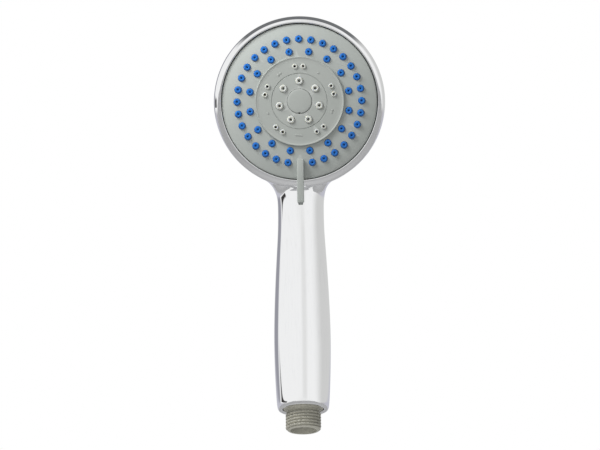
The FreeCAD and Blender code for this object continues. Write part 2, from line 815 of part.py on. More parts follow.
def make_swirl_plate():
    """Plate of slanted jets that drives the turbine."""
    low = chamber_inner
    inner = hub_radius + seat_clearance
    outer = jet_chamber_radius - seat_clearance
    middle = (inner + outer) / 2
    lean = math.radians(swirl_jet_lean)
    jets = []
    for place in spread(middle, swirl_jets, 0):
        around = UP.cross(place).normalize()
        way = UP * math.cos(lean) + around * math.sin(lean)
        length = 4 * swirl_thickness
        start = place + UP * (low + swirl_thickness / 2) - way * (length / 2)
        jets.append(Part.makeCylinder(swirl_jet_radius, length, start, way))
    return ring(inner, outer, low, low + swirl_thickness).cut(Part.makeCompound(jets))


def make_turbine():
    """Vaned ring around the hub, with a shutter that covers part of the massage nozzles."""
    low = chamber_inner + swirl_thickness + turbine_float
    high = low + turbine_thickness
    inner = hub_radius + turn_clearance
    sleeve = ring(inner, inner + turbine_ring_wall, low, high)
    vanes = []
    for number in range(turbine_vanes):
        vane = Part.makeBox(turbine_outer_radius - inner - 0.4, turbine_vane_thickness,
                            turbine_thickness,
                            Vector(inner + 0.3, -turbine_vane_thickness / 2, low))
        vane.rotate(Vector(0, 0, 0), UP, 360.0 / turbine_vanes * number)
        vanes.append(vane)
    sector = Part.makeCylinder(turbine_outer_radius, turbine_plate, Vector(0, 0, high - turbine_plate),
                               UP, turbine_shutter_angle)
    shutter = sector.cut(cylinder(inner, low, high + 1))
    return joined([sleeve, shutter] + vanes)


WORLD_PARTS = {
    "body_shell": make_body_shell,
    "inlet_connector": make_inlet_connector,
    "connector_o_ring": make_connector_ring,
    "inlet_screen": make_inlet_screen,
    "flow_restrictor": make_flow_restrictor,
    "restrictor_o_ring": make_restrictor_ring,
    "waterway_tube": make_waterway_tube,
    "tube_lower_o_ring": make_lower_tube_ring,
}
HEAD_PARTS = {
    "tube_upper_o_ring": make_upper_tube_ring,
    "manifold": make_manifold,
    "manifold_screws": make_manifold_screws,
    "pivot_insert": make_pivot_insert,
    "centre_washer": make_centre_washer,
    "centre_screw": make_centre_screw,
    "port_seal": make_port_seal,
    "port_spring": make_port_spring,
    "detent_plunger": make_detent_plunger,
    "detent_spring": make_detent_spring,
    "distributor": make_distributor,
    "chamber_plate": make_chamber_plate,
    "swirl_plate": make_swirl_plate,
    "massage_turbine": make_turbine,
    "nozzle_mat": make_nozzle_mat,
    "jet_insert": make_jet_insert,
    "face_plate": make_face_plate,
    "selector_lever": make_selector_lever,
    "centre_disc": make_centre_disc,
    "centre_cap": make_centre_cap,
}


def main():
    """Write one STEP file for each part."""
    os.makedirs("parts", exist_ok=True)
    shapes = {name: make() for name, make in WORLD_PARTS.items()}
    shapes.update({name: in_head(make()) for name, make in HEAD_PARTS.items()})
    for name, shape in shapes.items():
        shape.exportStep(f"parts/{name}.step")
        print(f"{name}: valid {shape.isValid()}, solids {len(shape.Solids)}, "
              f"volume {shape.Volume:.1f} mm3")
    print("face centre", face_centre, "spray", spray)


main()
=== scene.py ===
"""Handheld shower head: a chromed shell with a satin spray face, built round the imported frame.

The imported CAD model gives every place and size. Each sub-assembly below is a class that models
its pieces with Blender's own tools and dresses them with procedural finishes. Head pieces are
modelled in the head frame, whose origin is the centre of the spray face, +Z is the spray
direction and +Y points up the face, and are then set into the row frame. Sizes are millimetres
until they reach a mesh.
"""
import json
import logging
import math
from contextlib import contextmanager
from dataclasses import dataclass, field
from enum import Enum
from typing import Callable, Iterator, Sequence

import bmesh
import bpy
from mathutils import Matrix, Vector


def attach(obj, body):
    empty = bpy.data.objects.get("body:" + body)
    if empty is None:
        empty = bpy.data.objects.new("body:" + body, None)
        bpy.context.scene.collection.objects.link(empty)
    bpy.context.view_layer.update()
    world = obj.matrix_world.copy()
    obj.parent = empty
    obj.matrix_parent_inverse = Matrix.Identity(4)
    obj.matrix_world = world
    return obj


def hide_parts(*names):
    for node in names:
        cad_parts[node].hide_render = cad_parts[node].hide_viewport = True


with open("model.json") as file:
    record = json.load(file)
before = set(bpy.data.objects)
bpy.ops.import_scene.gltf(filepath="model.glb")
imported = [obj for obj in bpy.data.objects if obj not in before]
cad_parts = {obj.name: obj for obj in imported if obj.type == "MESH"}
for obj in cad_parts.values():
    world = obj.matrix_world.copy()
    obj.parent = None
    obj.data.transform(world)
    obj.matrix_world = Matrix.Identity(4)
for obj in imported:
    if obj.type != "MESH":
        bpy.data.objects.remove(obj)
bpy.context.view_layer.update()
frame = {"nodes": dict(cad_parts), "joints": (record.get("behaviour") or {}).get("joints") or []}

LOG = logging.getLogger("shower_head")
MM = 0.001
Colour = tuple[float, float, float]
Profile = Sequence[tuple[float, float]]


class Body(Enum):
    """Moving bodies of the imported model."""

    BODY = "body"
    SELECTOR = "selector"


class Slot(Enum):
    """Material slots of the record."""

    CHROME = "chrome_shell"
    CONNECTOR = "connector_plastic"
    FACE = "face_plastic"
    DISC = "disc_plastic"
    NOZZLE = "nozzle_silicone"
    JET = "jet_silicone"
    INNER = "inner_plastic"
    TURBINE = "turbine_plastic"
    SEAL = "seal_rubber"
    SCREW = "screw_steel"
    STRAINER = "strainer_steel"
    SPRING = "spring_steel"
    BRASS = "insert_brass"


class Select(Enum):
    """What a pick in edit mode looks at."""

    VERT = "VERT"
    EDGE = "EDGE"
    FACE = "FACE"


# ---------------------------------------------------------------- the head frame
def head_frame() -> Matrix:
    """Place of the head frame in the row frame, read from the selector's hinge.

    Returns:
        The matrix that carries head coordinates, in metres, to row coordinates.
    """
    hinge = next(joint for joint in frame["joints"] if joint["name"] == "selector_turn")
    spray = Vector(hinge["axis"]).normalized()
    side = Vector((1.0, 0.0, 0.0))
    up = spray.cross(side)
    turned = Matrix((side, up, spray)).transposed().to_4x4()
    return Matrix.Translation(Vector(hinge["pos_m"])) @ turned


HEAD = head_frame()


# ---------------------------------------------------------------- the bench: modelling by hand
def deselect() -> None:
    """Leave edit mode and deselect every object."""
    if bpy.context.object and bpy.context.object.mode != "OBJECT":
        bpy.ops.object.mode_set(mode="OBJECT")
    bpy.ops.object.select_all(action="DESELECT")


def activate(*pieces: bpy.types.Object) -> None:
    """Select these pieces only.

    Args:
        *pieces: The objects, the first of which becomes the active one.
    """
    deselect()
    for piece in pieces:
        piece.select_set(True)
    bpy.context.view_layer.objects.active = pieces[0]


@contextmanager
def editing(piece: bpy.types.Object) -> Iterator[bpy.types.Object]:
    """Edit mode on one piece, and object mode again at the end.

    Args:
        piece: The object to edit.

    Yields:
        The same object.
    """
    activate(piece)
    bpy.ops.object.mode_set(mode="EDIT")
    bpy.ops.mesh.select_mode(type="VERT")
    yield piece
    bpy.ops.object.mode_set(mode="OBJECT")


def pick(piece: bpy.types.Object, kind: Select, wanted: Callable) -> int:
    """Select the vertices, edges or faces of a piece in edit mode that pass a test.

    Args:
        piece: The object in edit mode.
        kind: What to look at.
        wanted: Test of one bmesh element.

    Returns:
        How many were selected.
    """
    bpy.ops.mesh.select_mode(type=kind.value)
    bpy.ops.mesh.select_all(action="DESELECT")
    mesh = bmesh.from_edit_mesh(piece.data)
    pool = {Select.VERT: mesh.verts, Select.EDGE: mesh.edges, Select.FACE: mesh.faces}[kind]
    chosen = [element for element in pool if wanted(element)]
    for element in chosen:
        element.select_set(True)
    mesh.select_flush_mode()
    bmesh.update_edit_mesh(piece.data)
    return len(chosen)


def apply_modifier(piece: bpy.types.Object, kind: str, **settings: object) -> None:
    """Add a modifier, set it up and apply it.

    Args:
        piece: The object that gets it.
        kind: Blender's modifier type.
        **settings: The modifier's own settings.
    """
    activate(piece)
    modifier = piece.modifiers.new(kind.title(), kind)
    for name, value in settings.items():
        setattr(modifier, name, value)
    bpy.ops.object.modifier_apply(modifier=modifier.name)


def smooth(piece: bpy.types.Object, angle: float = 35.0) -> None:
    """Shade a piece smooth, with its sharp edges kept.

    Args:
        piece: The object to shade.
        angle: Angle in degrees past which an edge stays sharp.
    """
    activate(piece)
    bpy.ops.object.shade_smooth_by_angle(angle=math.radians(angle))


def set_in_head(piece: bpy.types.Object) -> bpy.types.Object:
    """Carry a piece modelled in the head frame to its place, kept in its mesh.

    Args:
        piece: The modelled piece.

    Returns:
        The same piece.
    """
    activate(piece)
    piece.matrix_world = HEAD
    bpy.ops.object.transform_apply(location=True, rotation=True, scale=True)
    return piece


def lathe(name: str, profile: Profile, segments: int, closed: bool = False,
          start_angle: float = 0.0) -> bpy.types.Object:
    """Turn a profile about the Z axis: a circle, extruded ring by ring.

    Args:
        name: The piece's name.
        profile: Radius and height of each ring, in mm. A last radius of 0 closes in a pole.
        segments: Vertices around.
        closed: Whether the last ring is joined to the first.
        start_angle: Turn of the first vertex from +X, in degrees.

    Returns:
        The new object.
    """
    deselect()
    radius, height = profile[0]
    bpy.ops.mesh.primitive_circle_add(vertices=segments, radius=radius * MM,
                                      rotation=(0.0, 0.0, math.radians(start_angle - 90.0)))
    piece = bpy.context.object
    piece.name = piece.data.name = name
    bpy.ops.object.transform_apply(location=True, rotation=True, scale=True)
    with editing(piece):
        bpy.ops.mesh.select_mode(type="EDGE")
        bpy.ops.mesh.select_all(action="SELECT")
        bpy.ops.transform.translate(value=(0.0, 0.0, height * MM))
        for next_radius, next_height in profile[1:]:
            step = (0.0, 0.0, (next_height - height) * MM)
            bpy.ops.mesh.extrude_edges_move(TRANSFORM_OT_translate={"value": step})
            if next_radius:
                ratio = next_radius / radius
                bpy.ops.transform.resize(value=(ratio, ratio, 1.0),
                                         center_override=(0.0, 0.0, next_height * MM))
            else:
                bpy.ops.mesh.merge(type="CENTER")
            radius, height = next_radius, next_height
        if closed:
            bpy.ops.mesh.select_all(action="DESELECT")
            bpy.ops.mesh.select_non_manifold()
            bpy.ops.mesh.bridge_edge_loops()
        bpy.ops.mesh.select_all(action="SELECT")
        bpy.ops.mesh.normals_make_consistent(inside=False)
    return piece


def copies(master: bpy.types.Object, places: Sequence[Vector]) -> list[bpy.types.Object]:
    """Copy a piece to several places, each copy with its own mesh.

    Args:
        master: The piece, modelled about the origin. It is used up.
        places: Where the copies go, in mm.

    Returns:
        The copies.
    """
    made = []
    for place in places:
        activate(master)
        bpy.ops.object.duplicate(linked=False)
        copy = bpy.context.object
        with editing(copy):
            bpy.ops.mesh.select_all(action="SELECT")
            bpy.ops.transform.translate(value=place * MM)
        made.append(copy)
    activate(master)
    bpy.ops.object.delete()
    return made


def join(name: str, pieces: Sequence[bpy.types.Object]) -> bpy.types.Object:
    """Join pieces into one object.

    Args:
        name: The joined object's name.
        pieces: The objects, the first of which is kept.

    Returns:
        The joined object.
    """
    activate(*pieces)
    if len(pieces) > 1:
        bpy.ops.object.join()
    pieces[0].name = pieces[0].data.name = name
    return pieces[0]


def cut(piece: bpy.types.Object, tool: bpy.types.Object, operation: str = "DIFFERENCE") -> None:
    """Cut a piece with a tool.

    Args:
        piece: The object that is cut.
        tool: The cutting object. It is used up.
        operation: Blender's boolean operation.
    """
    apply_modifier(piece, "BOOLEAN", operation=operation, object=tool, solver="EXACT")
    activate(tool)
    bpy.ops.object.delete()


def polar(radius: float, angle: float, height: float = 0.0) -> Vector:
    """Point on a circle about the Z axis.

    Args:
        radius: Distance from the axis.
        angle: Angle from +X in degrees.
        height: Height along the axis.

    Returns:
        The point, in the units of its radius and height.
    """
    turn = math.radians(angle)
    return Vector((radius * math.cos(turn), radius * math.sin(turn), height))


def spread(radius: float, count: int, start: float,
           skipped: Sequence[int] = ()) -> list[Vector]:
    """Evenly spaced places on a circle.

    Args:
        radius: The circle's radius in mm.
        count: How many places it has.
        start: Angle of the first, in degrees from +X.
        skipped: Places left empty.

    Returns:
        The places, going clockwise.
    """
    step = 360.0 / count
    return [polar(radius, start - step * index) for index in range(count) if index not in skipped]


# ---------------------------------------------------------------- node graphs
class Graph:
    """Builds a node tree in code."""

    def __init__(self, tree: bpy.types.NodeTree) -> None:
        """Keep the tree and empty it.

        Args:
            tree: The node tree that the graph is built in.
        """
        self.tree = tree
        tree.nodes.clear()

    def add(self, kind: str, inputs: dict | None = None, **settings: object) -> bpy.types.Node:
        """Add a node.

        Args:
            kind: Blender's node type.
            inputs: Values or sockets for its inputs, by name or index.
            **settings: The node's own settings.

        Returns:
            The node.
        """
        node = self.tree.nodes.new(kind)
        for name, value in settings.items():
            setattr(node, name, value)
        for key, value in (inputs or {}).items():
            if isinstance(value, bpy.types.NodeSocket):
                self.tree.links.new(value, node.inputs[key])
            else:
                node.inputs[key].default_value = value
        return node

    def maths(self, operation: str, *values: object) -> bpy.types.NodeSocket:
        """Work out a sum, product or other function.

        Args:
            operation: Blender's name of the function.
            *values: One to three numbers or sockets.

        Returns:
            The result's socket.
        """
        node = self.add("ShaderNodeMath", dict(enumerate(values)), operation=operation)
        return node.outputs[0]

    def ramp(self, value: object, low: float, high: float, to_low: float = 0.0,
             to_high: float = 1.0) -> bpy.types.NodeSocket:
        """Smooth step of a value.

        Args:
            value: The socket that is read.
            low: Value where the step starts.
            high: Value where it ends.
            to_low: Result at the start.
            to_high: Result at the end.

        Returns:
            The result's socket.
        """
        node = self.add("ShaderNodeMapRange", {0: value, 1: low, 2: high, 3: to_low, 4: to_high},
                        interpolation_type="SMOOTHSTEP")
        return node.outputs[0]

    def noise(self, vector: object, scale: float, detail: float = 3.0,
              roughness: float = 0.5) -> bpy.types.NodeSocket:
        """Add a noise texture.

        Args:
            vector: The socket of its coordinates.
            scale: A number or a socket.
            detail: Number of finer layers.
            roughness: Strength of the finer layers.

        Returns:
            The socket of the noise's height.
        """
        inputs = {"Vector": vector, "Scale": scale, "Detail": detail, "Roughness": roughness}
        return self.add("ShaderNodeTexNoise", inputs).outputs[0]

    def blend(self, amount: object, first: object, second: object) -> bpy.types.NodeSocket:
        """Mix of two colours.

        Args:
            amount: Share of the second, a number or a socket.
            first: A colour or a socket.
            second: A colour or a socket.

        Returns:
            The mixed colour's socket.
        """
        first = first if isinstance(first, bpy.types.NodeSocket) else (*first, 1.0)
        second = second if isinstance(second, bpy.types.NodeSocket) else (*second, 1.0)
        node = self.add("ShaderNodeMix", {0: amount, 6: first, 7: second}, data_type="RGBA")
        return node.outputs[2]


# ---------------------------------------------------------------- the studio
@dataclass
class Studio:
    """Pale floor, white surroundings, soft light and the camera.

    Distances and places are metres, the camera's aim is millimetres and its roll degrees. The
    surroundings are screens of even tone, placed by direction from the head: side is to the
    right, up is up the face and front is the way it sprays.
    """

    camera_distance: float = 1.2
    lens: float = 119.2
    aim_down: float = 74.7
    aim_side: float = -0.6
    roll: float = -0.7
    near: float = 0.05
    far: float = 20.0
    fill: float = 0.38
    floor_height: float = -0.5
    floor_size: float = 8.0
    floor_tone: Colour = (0.90, 0.90, 0.90)
    floor_glow: float = 0.22
    floor_glow_seen: float = 0.30
    white: Colour = (0.95, 0.95, 0.945)
    white_ahead: Colour = (0.89, 0.89, 0.88)
    grey_right: Colour = (0.66, 0.66, 0.65)
    grey_stand: Colour = (0.82, 0.82, 0.81)
    grey_behind: Colour = (0.33, 0.33, 0.37)
    table_ahead: Colour = (0.78, 0.77, 0.74)
    table_brown: Colour = (0.30, 0.26, 0.225)
    table_grey: Colour = (0.47, 0.455, 0.45)
    table_blue: Colour = (0.55, 0.55, 0.61)
    ceiling: Colour = (0.175, 0.18, 0.185)
    dark_screen: Colour = (0.045, 0.042, 0.042)

    def camera(self) -> bpy.types.Object:
        """Put the camera square to the spray face.

        Returns:
            The camera.
        """
        aim = HEAD @ Vector((self.aim_side * MM, -self.aim_down * MM, 0.0))
        data = bpy.data.cameras.new("camera")
        data.lens = self.lens
        data.clip_start = self.near
        data.clip_end = self.far
        camera = bpy.data.objects.new("camera", data)
        bpy.context.scene.collection.objects.link(camera)
        turned = HEAD.to_3x3().to_4x4() @ Matrix.Rotation(math.radians(self.roll), 4, "Z")
        spray = HEAD.to_3x3() @ Vector((0.0, 0.0, 1.0))
        camera.matrix_world = Matrix.Translation(aim + spray * self.camera_distance) @ turned
        bpy.context.scene.camera = camera
        return camera

    def world(self) -> None:
        """White surroundings, with the soft and dark screens that a chromed piece mirrors."""
        world = bpy.data.worlds.new("studio")
        bpy.context.scene.world = world
        world.use_nodes = True
        graph = Graph(world.node_tree)
        direction = graph.add("ShaderNodeTexCoord").outputs["Generated"]
        axes = [HEAD.to_3x3().col[index] for index in range(3)]
        side, up, front = [
            graph.add("ShaderNodeVectorMath", {0: direction, 1: axis},
                      operation="DOT_PRODUCT").outputs["Value"] for axis in axes]
        ahead = graph.ramp(front, 0.80, 0.99)
        shade = graph.blend(ahead, self.white, self.white_ahead)
        across = graph.maths("ABSOLUTE", graph.maths("SUBTRACT", side, 0.14))
        # soft fall-off to the right, and the narrow shade of the camera stand above
        right = graph.maths("MULTIPLY", graph.ramp(side, 0.02, 0.15), graph.ramp(front, -0.3, -0.6))
        edge = graph.maths("MULTIPLY", graph.ramp(front, 0.60, -0.10), graph.ramp(side, 0.1, 0.3))
        right = graph.maths("MAXIMUM", right, edge)
        shade = graph.blend(right, shade, self.grey_right)
        stand = graph.maths("MULTIPLY", graph.ramp(across, 0.26, 0.04), graph.ramp(up, 0.3, 0.5))
        stand = graph.maths("MULTIPLY", stand, graph.ramp(front, 0.45, 0.60))
        shade = graph.blend(stand, shade, self.grey_stand)
        # grey screen behind on the left
        behind = graph.maths("MULTIPLY", graph.ramp(front, -0.42, -0.55),
                             graph.ramp(front, -0.97, -0.9))
        behind = graph.maths("MULTIPLY", behind, graph.ramp(side, -0.1, -0.3))
        shade = graph.blend(behind, shade, self.grey_behind)
        # beige and grey of the table below
        below = graph.ramp(up, 0.0, -0.10)
        table = graph.blend(graph.ramp(front, 0.93, 0.85), self.table_ahead, self.table_brown)
        table = graph.blend(graph.ramp(front, 0.78, 0.50), table, self.table_grey)
        table = graph.blend(graph.ramp(front, 0.30, -0.60), table, self.table_blue)
        shade = graph.blend(below, shade, table)
        # dark ceiling above
        azimuth = graph.maths("ARCTAN2", side, up)
        arc = graph.ramp(graph.maths("ABSOLUTE", azimuth), 0.85, 0.62)
        height = graph.maths("MULTIPLY", graph.ramp(front, 0.50, 0.38),
                             graph.ramp(front, -0.92, -0.75))
        shade = graph.blend(graph.maths("MULTIPLY", arc, height), shade, self.ceiling)
        # narrow dark screen on the left
        slope = graph.maths("MULTIPLY_ADD", graph.maths("MULTIPLY", front, front), 0.5, 0.10)
        spread_up = graph.maths("MULTIPLY", graph.maths("MULTIPLY", side, -1.0), slope)
        left = graph.ramp(graph.maths("SUBTRACT", up, spread_up), 0.02, -0.02)
        left = graph.maths("MULTIPLY", left, graph.maths("GREATER_THAN", up, 0.0))
        left = graph.maths("MULTIPLY", left, graph.maths("LESS_THAN", side, 0.0))
        band = graph.maths("MULTIPLY", graph.ramp(front, 0.30, 0.18),
                           graph.ramp(front, -0.42, -0.30))
        shade = graph.blend(graph.maths("MULTIPLY", left, band), shade, self.dark_screen)
        path = graph.add("ShaderNodeLightPath")
        dimmed = graph.maths("MULTIPLY_ADD", path.outputs["Is Diffuse Ray"], self.fill - 1.0, 1.0)
        lit = graph.add("ShaderNodeBackground", {"Color": shade, "Strength": dimmed}).outputs[0]
        plain = graph.add("ShaderNodeBackground", {
            "Color": (1.0, 1.0, 1.0, 1.0), "Strength": 1.0}).outputs[0]
        seen = path.outputs["Is Camera Ray"]
        mixed = graph.add("ShaderNodeMixShader", {0: seen, 1: lit, 2: plain}).outputs[0]
        graph.add("ShaderNodeOutputWorld", {"Surface": mixed})

    def light(self, name: str, place: Vector, size: float, power: float,
              target: Vector) -> None:
        """Hang a soft light that looks at a place.

        Args:
            name: The light's name.
            place: Its place in the head frame, in metres.
            size: Its side in metres.
            power: Its power in watts.
            target: The place it looks at, in the head frame, in metres.
        """
        data = bpy.data.lights.new(name, "AREA")
        data.size = size
        data.energy = power
        lamp = bpy.data.objects.new(name, data)
        bpy.context.scene.collection.objects.link(lamp)
        lamp.location = HEAD @ place
        towards = HEAD @ target - lamp.location
        lamp.rotation_mode = "QUATERNION"
        lamp.rotation_quaternion = towards.to_track_quat("-Z", "Y")
        lamp.visible_camera = False
        lamp.visible_glossy = False

    def floor(self) -> None:
        """Lay a wide pale floor well below the object."""
        deselect()
        bpy.ops.mesh.primitive_plane_add(size=self.floor_size,
                                         location=(0.0, 0.0, self.floor_height))
        floor = bpy.context.object
        floor.name = "floor"
        material = bpy.data.materials.new("pale_floor")
        material.use_nodes = True
        graph = Graph(material.node_tree)
        seen = graph.add("ShaderNodeLightPath").outputs["Is Camera Ray"]
        glow = graph.maths("MULTIPLY_ADD", seen, self.floor_glow_seen, self.floor_glow)
        pale = (*self.floor_tone, 1.0)
        shader = graph.add("ShaderNodeBsdfPrincipled", {
            "Base Color": pale, "Roughness": 0.7, "Emission Color": pale,
            "Emission Strength": glow})
        graph.add("ShaderNodeOutputMaterial", {"Surface": shader.outputs[0]})
        floor.data.materials.append(material)

    def build(self) -> None:
        """Set up the whole studio."""
        self.camera()
        self.world()
        self.light("key_light", Vector((-0.21, 0.23, 0.12)), 0.16, 1.9, Vector((0.0, 0.0, 0.0)))
        self.light("low_light", Vector((-0.03, -0.22, 0.14)), 0.10, 0.045,
                   Vector((0.0, -0.193, 0.0)))
        self.floor()
        bpy.context.scene.view_settings.view_transform = "Standard"


# ---------------------------------------------------------------- shared effects
class Effects:
    """Shader node groups that several finishes use, each built once."""

    made: dict[str, bpy.types.NodeTree] = {}

    @classmethod
    def group(cls, name: str, inputs: dict[str, float], outputs: Sequence[str],
              wire: Callable[[Graph, Callable], list]) -> bpy.types.NodeTree:
        """Make a node group once and hand it out after that.

        Args:
            name: The group's name.
            inputs: Its number inputs and their values.
            outputs: Names of its number outputs.
            wire: Builds the inside from a graph and a reader of the inputs, and returns the
                sockets of the outputs.

        Returns:
            The group's tree.
        """
        if name not in cls.made:
            tree = bpy.data.node_groups.new(name, "ShaderNodeTree")
            for label, value in inputs.items():
                socket = tree.interface.new_socket(label, in_out="INPUT",
                                                   socket_type="NodeSocketFloat")
                socket.default_value = value
            for label in outputs:
                tree.interface.new_socket(label, in_out="OUTPUT", socket_type="NodeSocketFloat")
            graph = Graph(tree)
            entry = graph.add("NodeGroupInput")
            results = wire(graph, lambda label: entry.outputs[label])
            graph.add("NodeGroupOutput", dict(zip(outputs, results)))
            cls.made[name] = tree
        return cls.made[name]

    @classmethod
    def moulding(cls) -> bpy.types.NodeTree:
        """Spark-eroded grain of a mould, with the slow waver of the moulded wall.

        Returns:
            The group's tree.
        """
        def wire(graph: Graph, read: Callable) -> list:
            """Wire the inside of the group."""
            place = graph.add("ShaderNodeTexCoord").outputs["Object"]
            fine = graph.noise(place, read("Grain scale"), 4.0, 0.62)
            pits = graph.add("ShaderNodeTexVoronoi", {
                "Vector": place, "Scale": read("Grain scale")}).outputs["Distance"]
            grain = graph.maths("MULTIPLY_ADD", pits, 0.35, fine)
            flow = graph.noise(place, read("Flow scale"), 2.0, 0.4)
            return [grain, graph.ramp(flow, 0.3, 0.7)]
        return cls.group("moulded_grain", {"Grain scale": 2600.0, "Flow scale": 28.0},
                         ["Grain", "Flow"], wire)

    @classmethod
    def edges(cls) -> bpy.types.NodeTree:
        """Mask of worn edges, broken up by noise, and of hollows, darkened as painted shade with
        some dirt.

        Returns:
            The group's tree.
        """
        def wire(graph: Graph, read: Callable) -> list:
            """Wire the inside of the group."""
            place = graph.add("ShaderNodeTexCoord").outputs["Object"]
            point = graph.add("ShaderNodeNewGeometry").outputs["Pointiness"]
            broken = graph.noise(place, 420.0, 5.0, 0.6)
            lifted = graph.maths("MULTIPLY_ADD", broken, 0.05, point)
            worn = graph.ramp(lifted, graph.maths("SUBTRACT", 0.60, read("Spread")), 0.62)
            # hollows found by pointiness, where the finishes paint shade, with some dirt
            hollow = graph.ramp(point, 0.49, graph.maths("SUBTRACT", 0.46, read("Spread")))
            return [graph.maths("MULTIPLY", worn, read("Wear")),
                    graph.maths("MULTIPLY", hollow, read("Dirt"))]
        return cls.group("worn_edges_and_hollow_shade", {"Spread": 0.03, "Wear": 0.5, "Dirt": 0.3},
                         ["Worn", "Hollow"], wire)

    @classmethod
    def marks(cls) -> bpy.types.NodeTree:
        """Faint dried drops and wiping streaks.

        Returns:
            The group's tree.
        """
        def wire(graph: Graph, read: Callable) -> list:
            """Wire the inside of the group."""
            place = graph.add("ShaderNodeTexCoord").outputs["Object"]
            spots = graph.add("ShaderNodeTexVoronoi", {
                "Vector": place, "Scale": read("Drop scale"), "Randomness": 1.0},
                feature="F1").outputs["Distance"]
            ring = graph.maths("MULTIPLY", graph.ramp(spots, 0.16, 0.20),
                               graph.ramp(spots, 0.26, 0.21))
            thin = graph.ramp(graph.noise(place, 55.0, 2.0, 0.5), 0.55, 0.72)
            stretched = graph.add("ShaderNodeMapping", {
                "Vector": place, "Scale": (900.0, 900.0, 60.0)}).outputs["Vector"]
            streak = graph.ramp(graph.noise(stretched, 1.0, 3.0, 0.6), 0.45, 0.75)
            return [graph.maths("MULTIPLY", ring, thin), streak]
        return cls.group("water_marks", {"Drop scale": 210.0}, ["Drops", "Streaks"], wire)


# ---------------------------------------------------------------- finishes
def new_material(name: str) -> tuple[bpy.types.Material, Graph, bpy.types.Node]:
    """Start a node material.

    Args:
        name: The material's name.

    Returns:
        The material, its graph and its shader.
    """
    material = bpy.data.materials.new(name)
    material.use_nodes = True
    graph = Graph(material.node_tree)
    shader = graph.add("ShaderNodeBsdfPrincipled")
    graph.add("ShaderNodeOutputMaterial", {"Surface": shader.outputs[0]})
    return material, graph, shader


def effect(graph: Graph, tree: bpy.types.NodeTree, **values: float) -> bpy.types.Node:
    """Place a shared effect in a material with its own values.

    Args:
        graph: The material's graph.
        tree: The effect's group.
        **values: Its inputs, with _ for each space of their names.

    Returns:
        The group's node.
    """
    node = graph.add("ShaderNodeGroup", node_tree=tree)
    for label, value in values.items():
        node.inputs[label.replace("_", " ")].default_value = value
    return node


@dataclass(frozen=True)
class ChromeFinish:
    """Bright chrome plating over moulded plastic."""

    name: str = "bright_chrome"
    colour: Colour = (0.90, 0.905, 0.915)
    haze: Colour = (0.84, 0.845, 0.86)
    roughness: float = 0.035
    smear: float = 0.05
    waver: float = 0.00004

    def material(self) -> bpy.types.Material:
        """Build the material.

        Returns:
            Chrome with a slow waver, wiping streaks and faint drop marks.
        """
        material, graph, shader = new_material(self.name)
        marks = effect(graph, Effects.marks(), Drop_scale=170.0)
        edges = effect(graph, Effects.edges(), Spread=0.02, Wear=0.35, Dirt=0.4)
        place = graph.add("ShaderNodeTexCoord").outputs["Object"]
        cloud = graph.ramp(graph.noise(place, 60.0, 3.0, 0.5), 0.35, 0.75)
        soil = graph.maths("MULTIPLY_ADD", marks.outputs["Drops"], 0.35,
                           graph.maths("MULTIPLY", cloud, marks.outputs["Streaks"]))
        colour = graph.blend(soil, self.colour, self.haze)
        # painted shade: the chrome is greyed in its hollows, with some dirt
        colour = graph.blend(edges.outputs["Hollow"], colour, (0.62, 0.61, 0.60))
        graph.tree.links.new(colour, shader.inputs["Base Color"])
        rough = graph.maths("MULTIPLY_ADD", soil, self.smear, self.roughness)
        rough = graph.maths("MULTIPLY_ADD", edges.outputs["Worn"], 0.06, rough)
        graph.tree.links.new(rough, shader.inputs["Roughness"])
        shader.inputs["Metallic"].default_value = 1.0
        wave = graph.noise(place, 45.0, 1.0, 0.4)
        bump = graph.add("ShaderNodeBump", {"Height": wave, "Strength": 0.25,
                                            "Distance": self.waver})
        graph.tree.links.new(bump.outputs[0], shader.inputs["Normal"])
        return material


@dataclass(frozen=True)
class MouldedFinish:
    """Moulded plastic, rubber or silicone."""

    name: str
    colour: Colour
    tone: Colour
    worn: Colour
    roughness: float = 0.42
    metallic: float = 0.0
    softness: float = 0.0
    grain_scale: float = 2600.0
    grain_depth: float = 0.00002
    wear: float = 0.45
    shade_and_dirt: float = 0.35

    def material(self) -> bpy.types.Material:
        """Build the material.

        Returns:
            Plastic with mould grain, tone that drifts, rubbed edges and hollows darkened as painted
            shade with some dirt.
        """
        material, graph, shader = new_material(self.name)
        grain = effect(graph, Effects.moulding(), Grain_scale=self.grain_scale)
        edges = effect(graph, Effects.edges(), Wear=self.wear, Dirt=self.shade_and_dirt)
        marks = effect(graph, Effects.marks())
        colour = graph.blend(grain.outputs["Flow"], self.colour, self.tone)
        speck = graph.maths("MULTIPLY", graph.ramp(grain.outputs["Grain"], 0.42, 0.9), 0.10)
        colour = graph.blend(speck, colour, self.worn)
        colour = graph.blend(edges.outputs["Worn"], colour, self.worn)
        # painted shade: hollows darkened towards a third of the colour, with some dirt
        dark = tuple(part * 0.35 for part in self.colour)
        colour = graph.blend(edges.outputs["Hollow"], colour, dark)
        graph.tree.links.new(colour, shader.inputs["Base Color"])
        rough = graph.maths("MULTIPLY_ADD", grain.outputs["Grain"], 0.12, self.roughness - 0.06)
        rough = graph.maths("MULTIPLY_ADD", marks.outputs["Streaks"], 0.05, rough)
        rough = graph.maths("MULTIPLY_ADD", edges.outputs["Worn"], -0.08, rough)
        graph.tree.links.new(rough, shader.inputs["Roughness"])
        shader.inputs["Metallic"].default_value = self.metallic
        if self.softness:
            shader.inputs["Subsurface Weight"].default_value = self.softness
            shader.inputs["Subsurface Radius"].default_value = (0.4, 0.5, 1.0)
            shader.inputs["Subsurface Scale"].default_value = 0.0006
        bump = graph.add("ShaderNodeBump", {"Height": grain.outputs["Grain"], "Strength": 0.35,
                                            "Distance": self.grain_depth})
        graph.tree.links.new(bump.outputs[0], shader.inputs["Normal"])
        return material


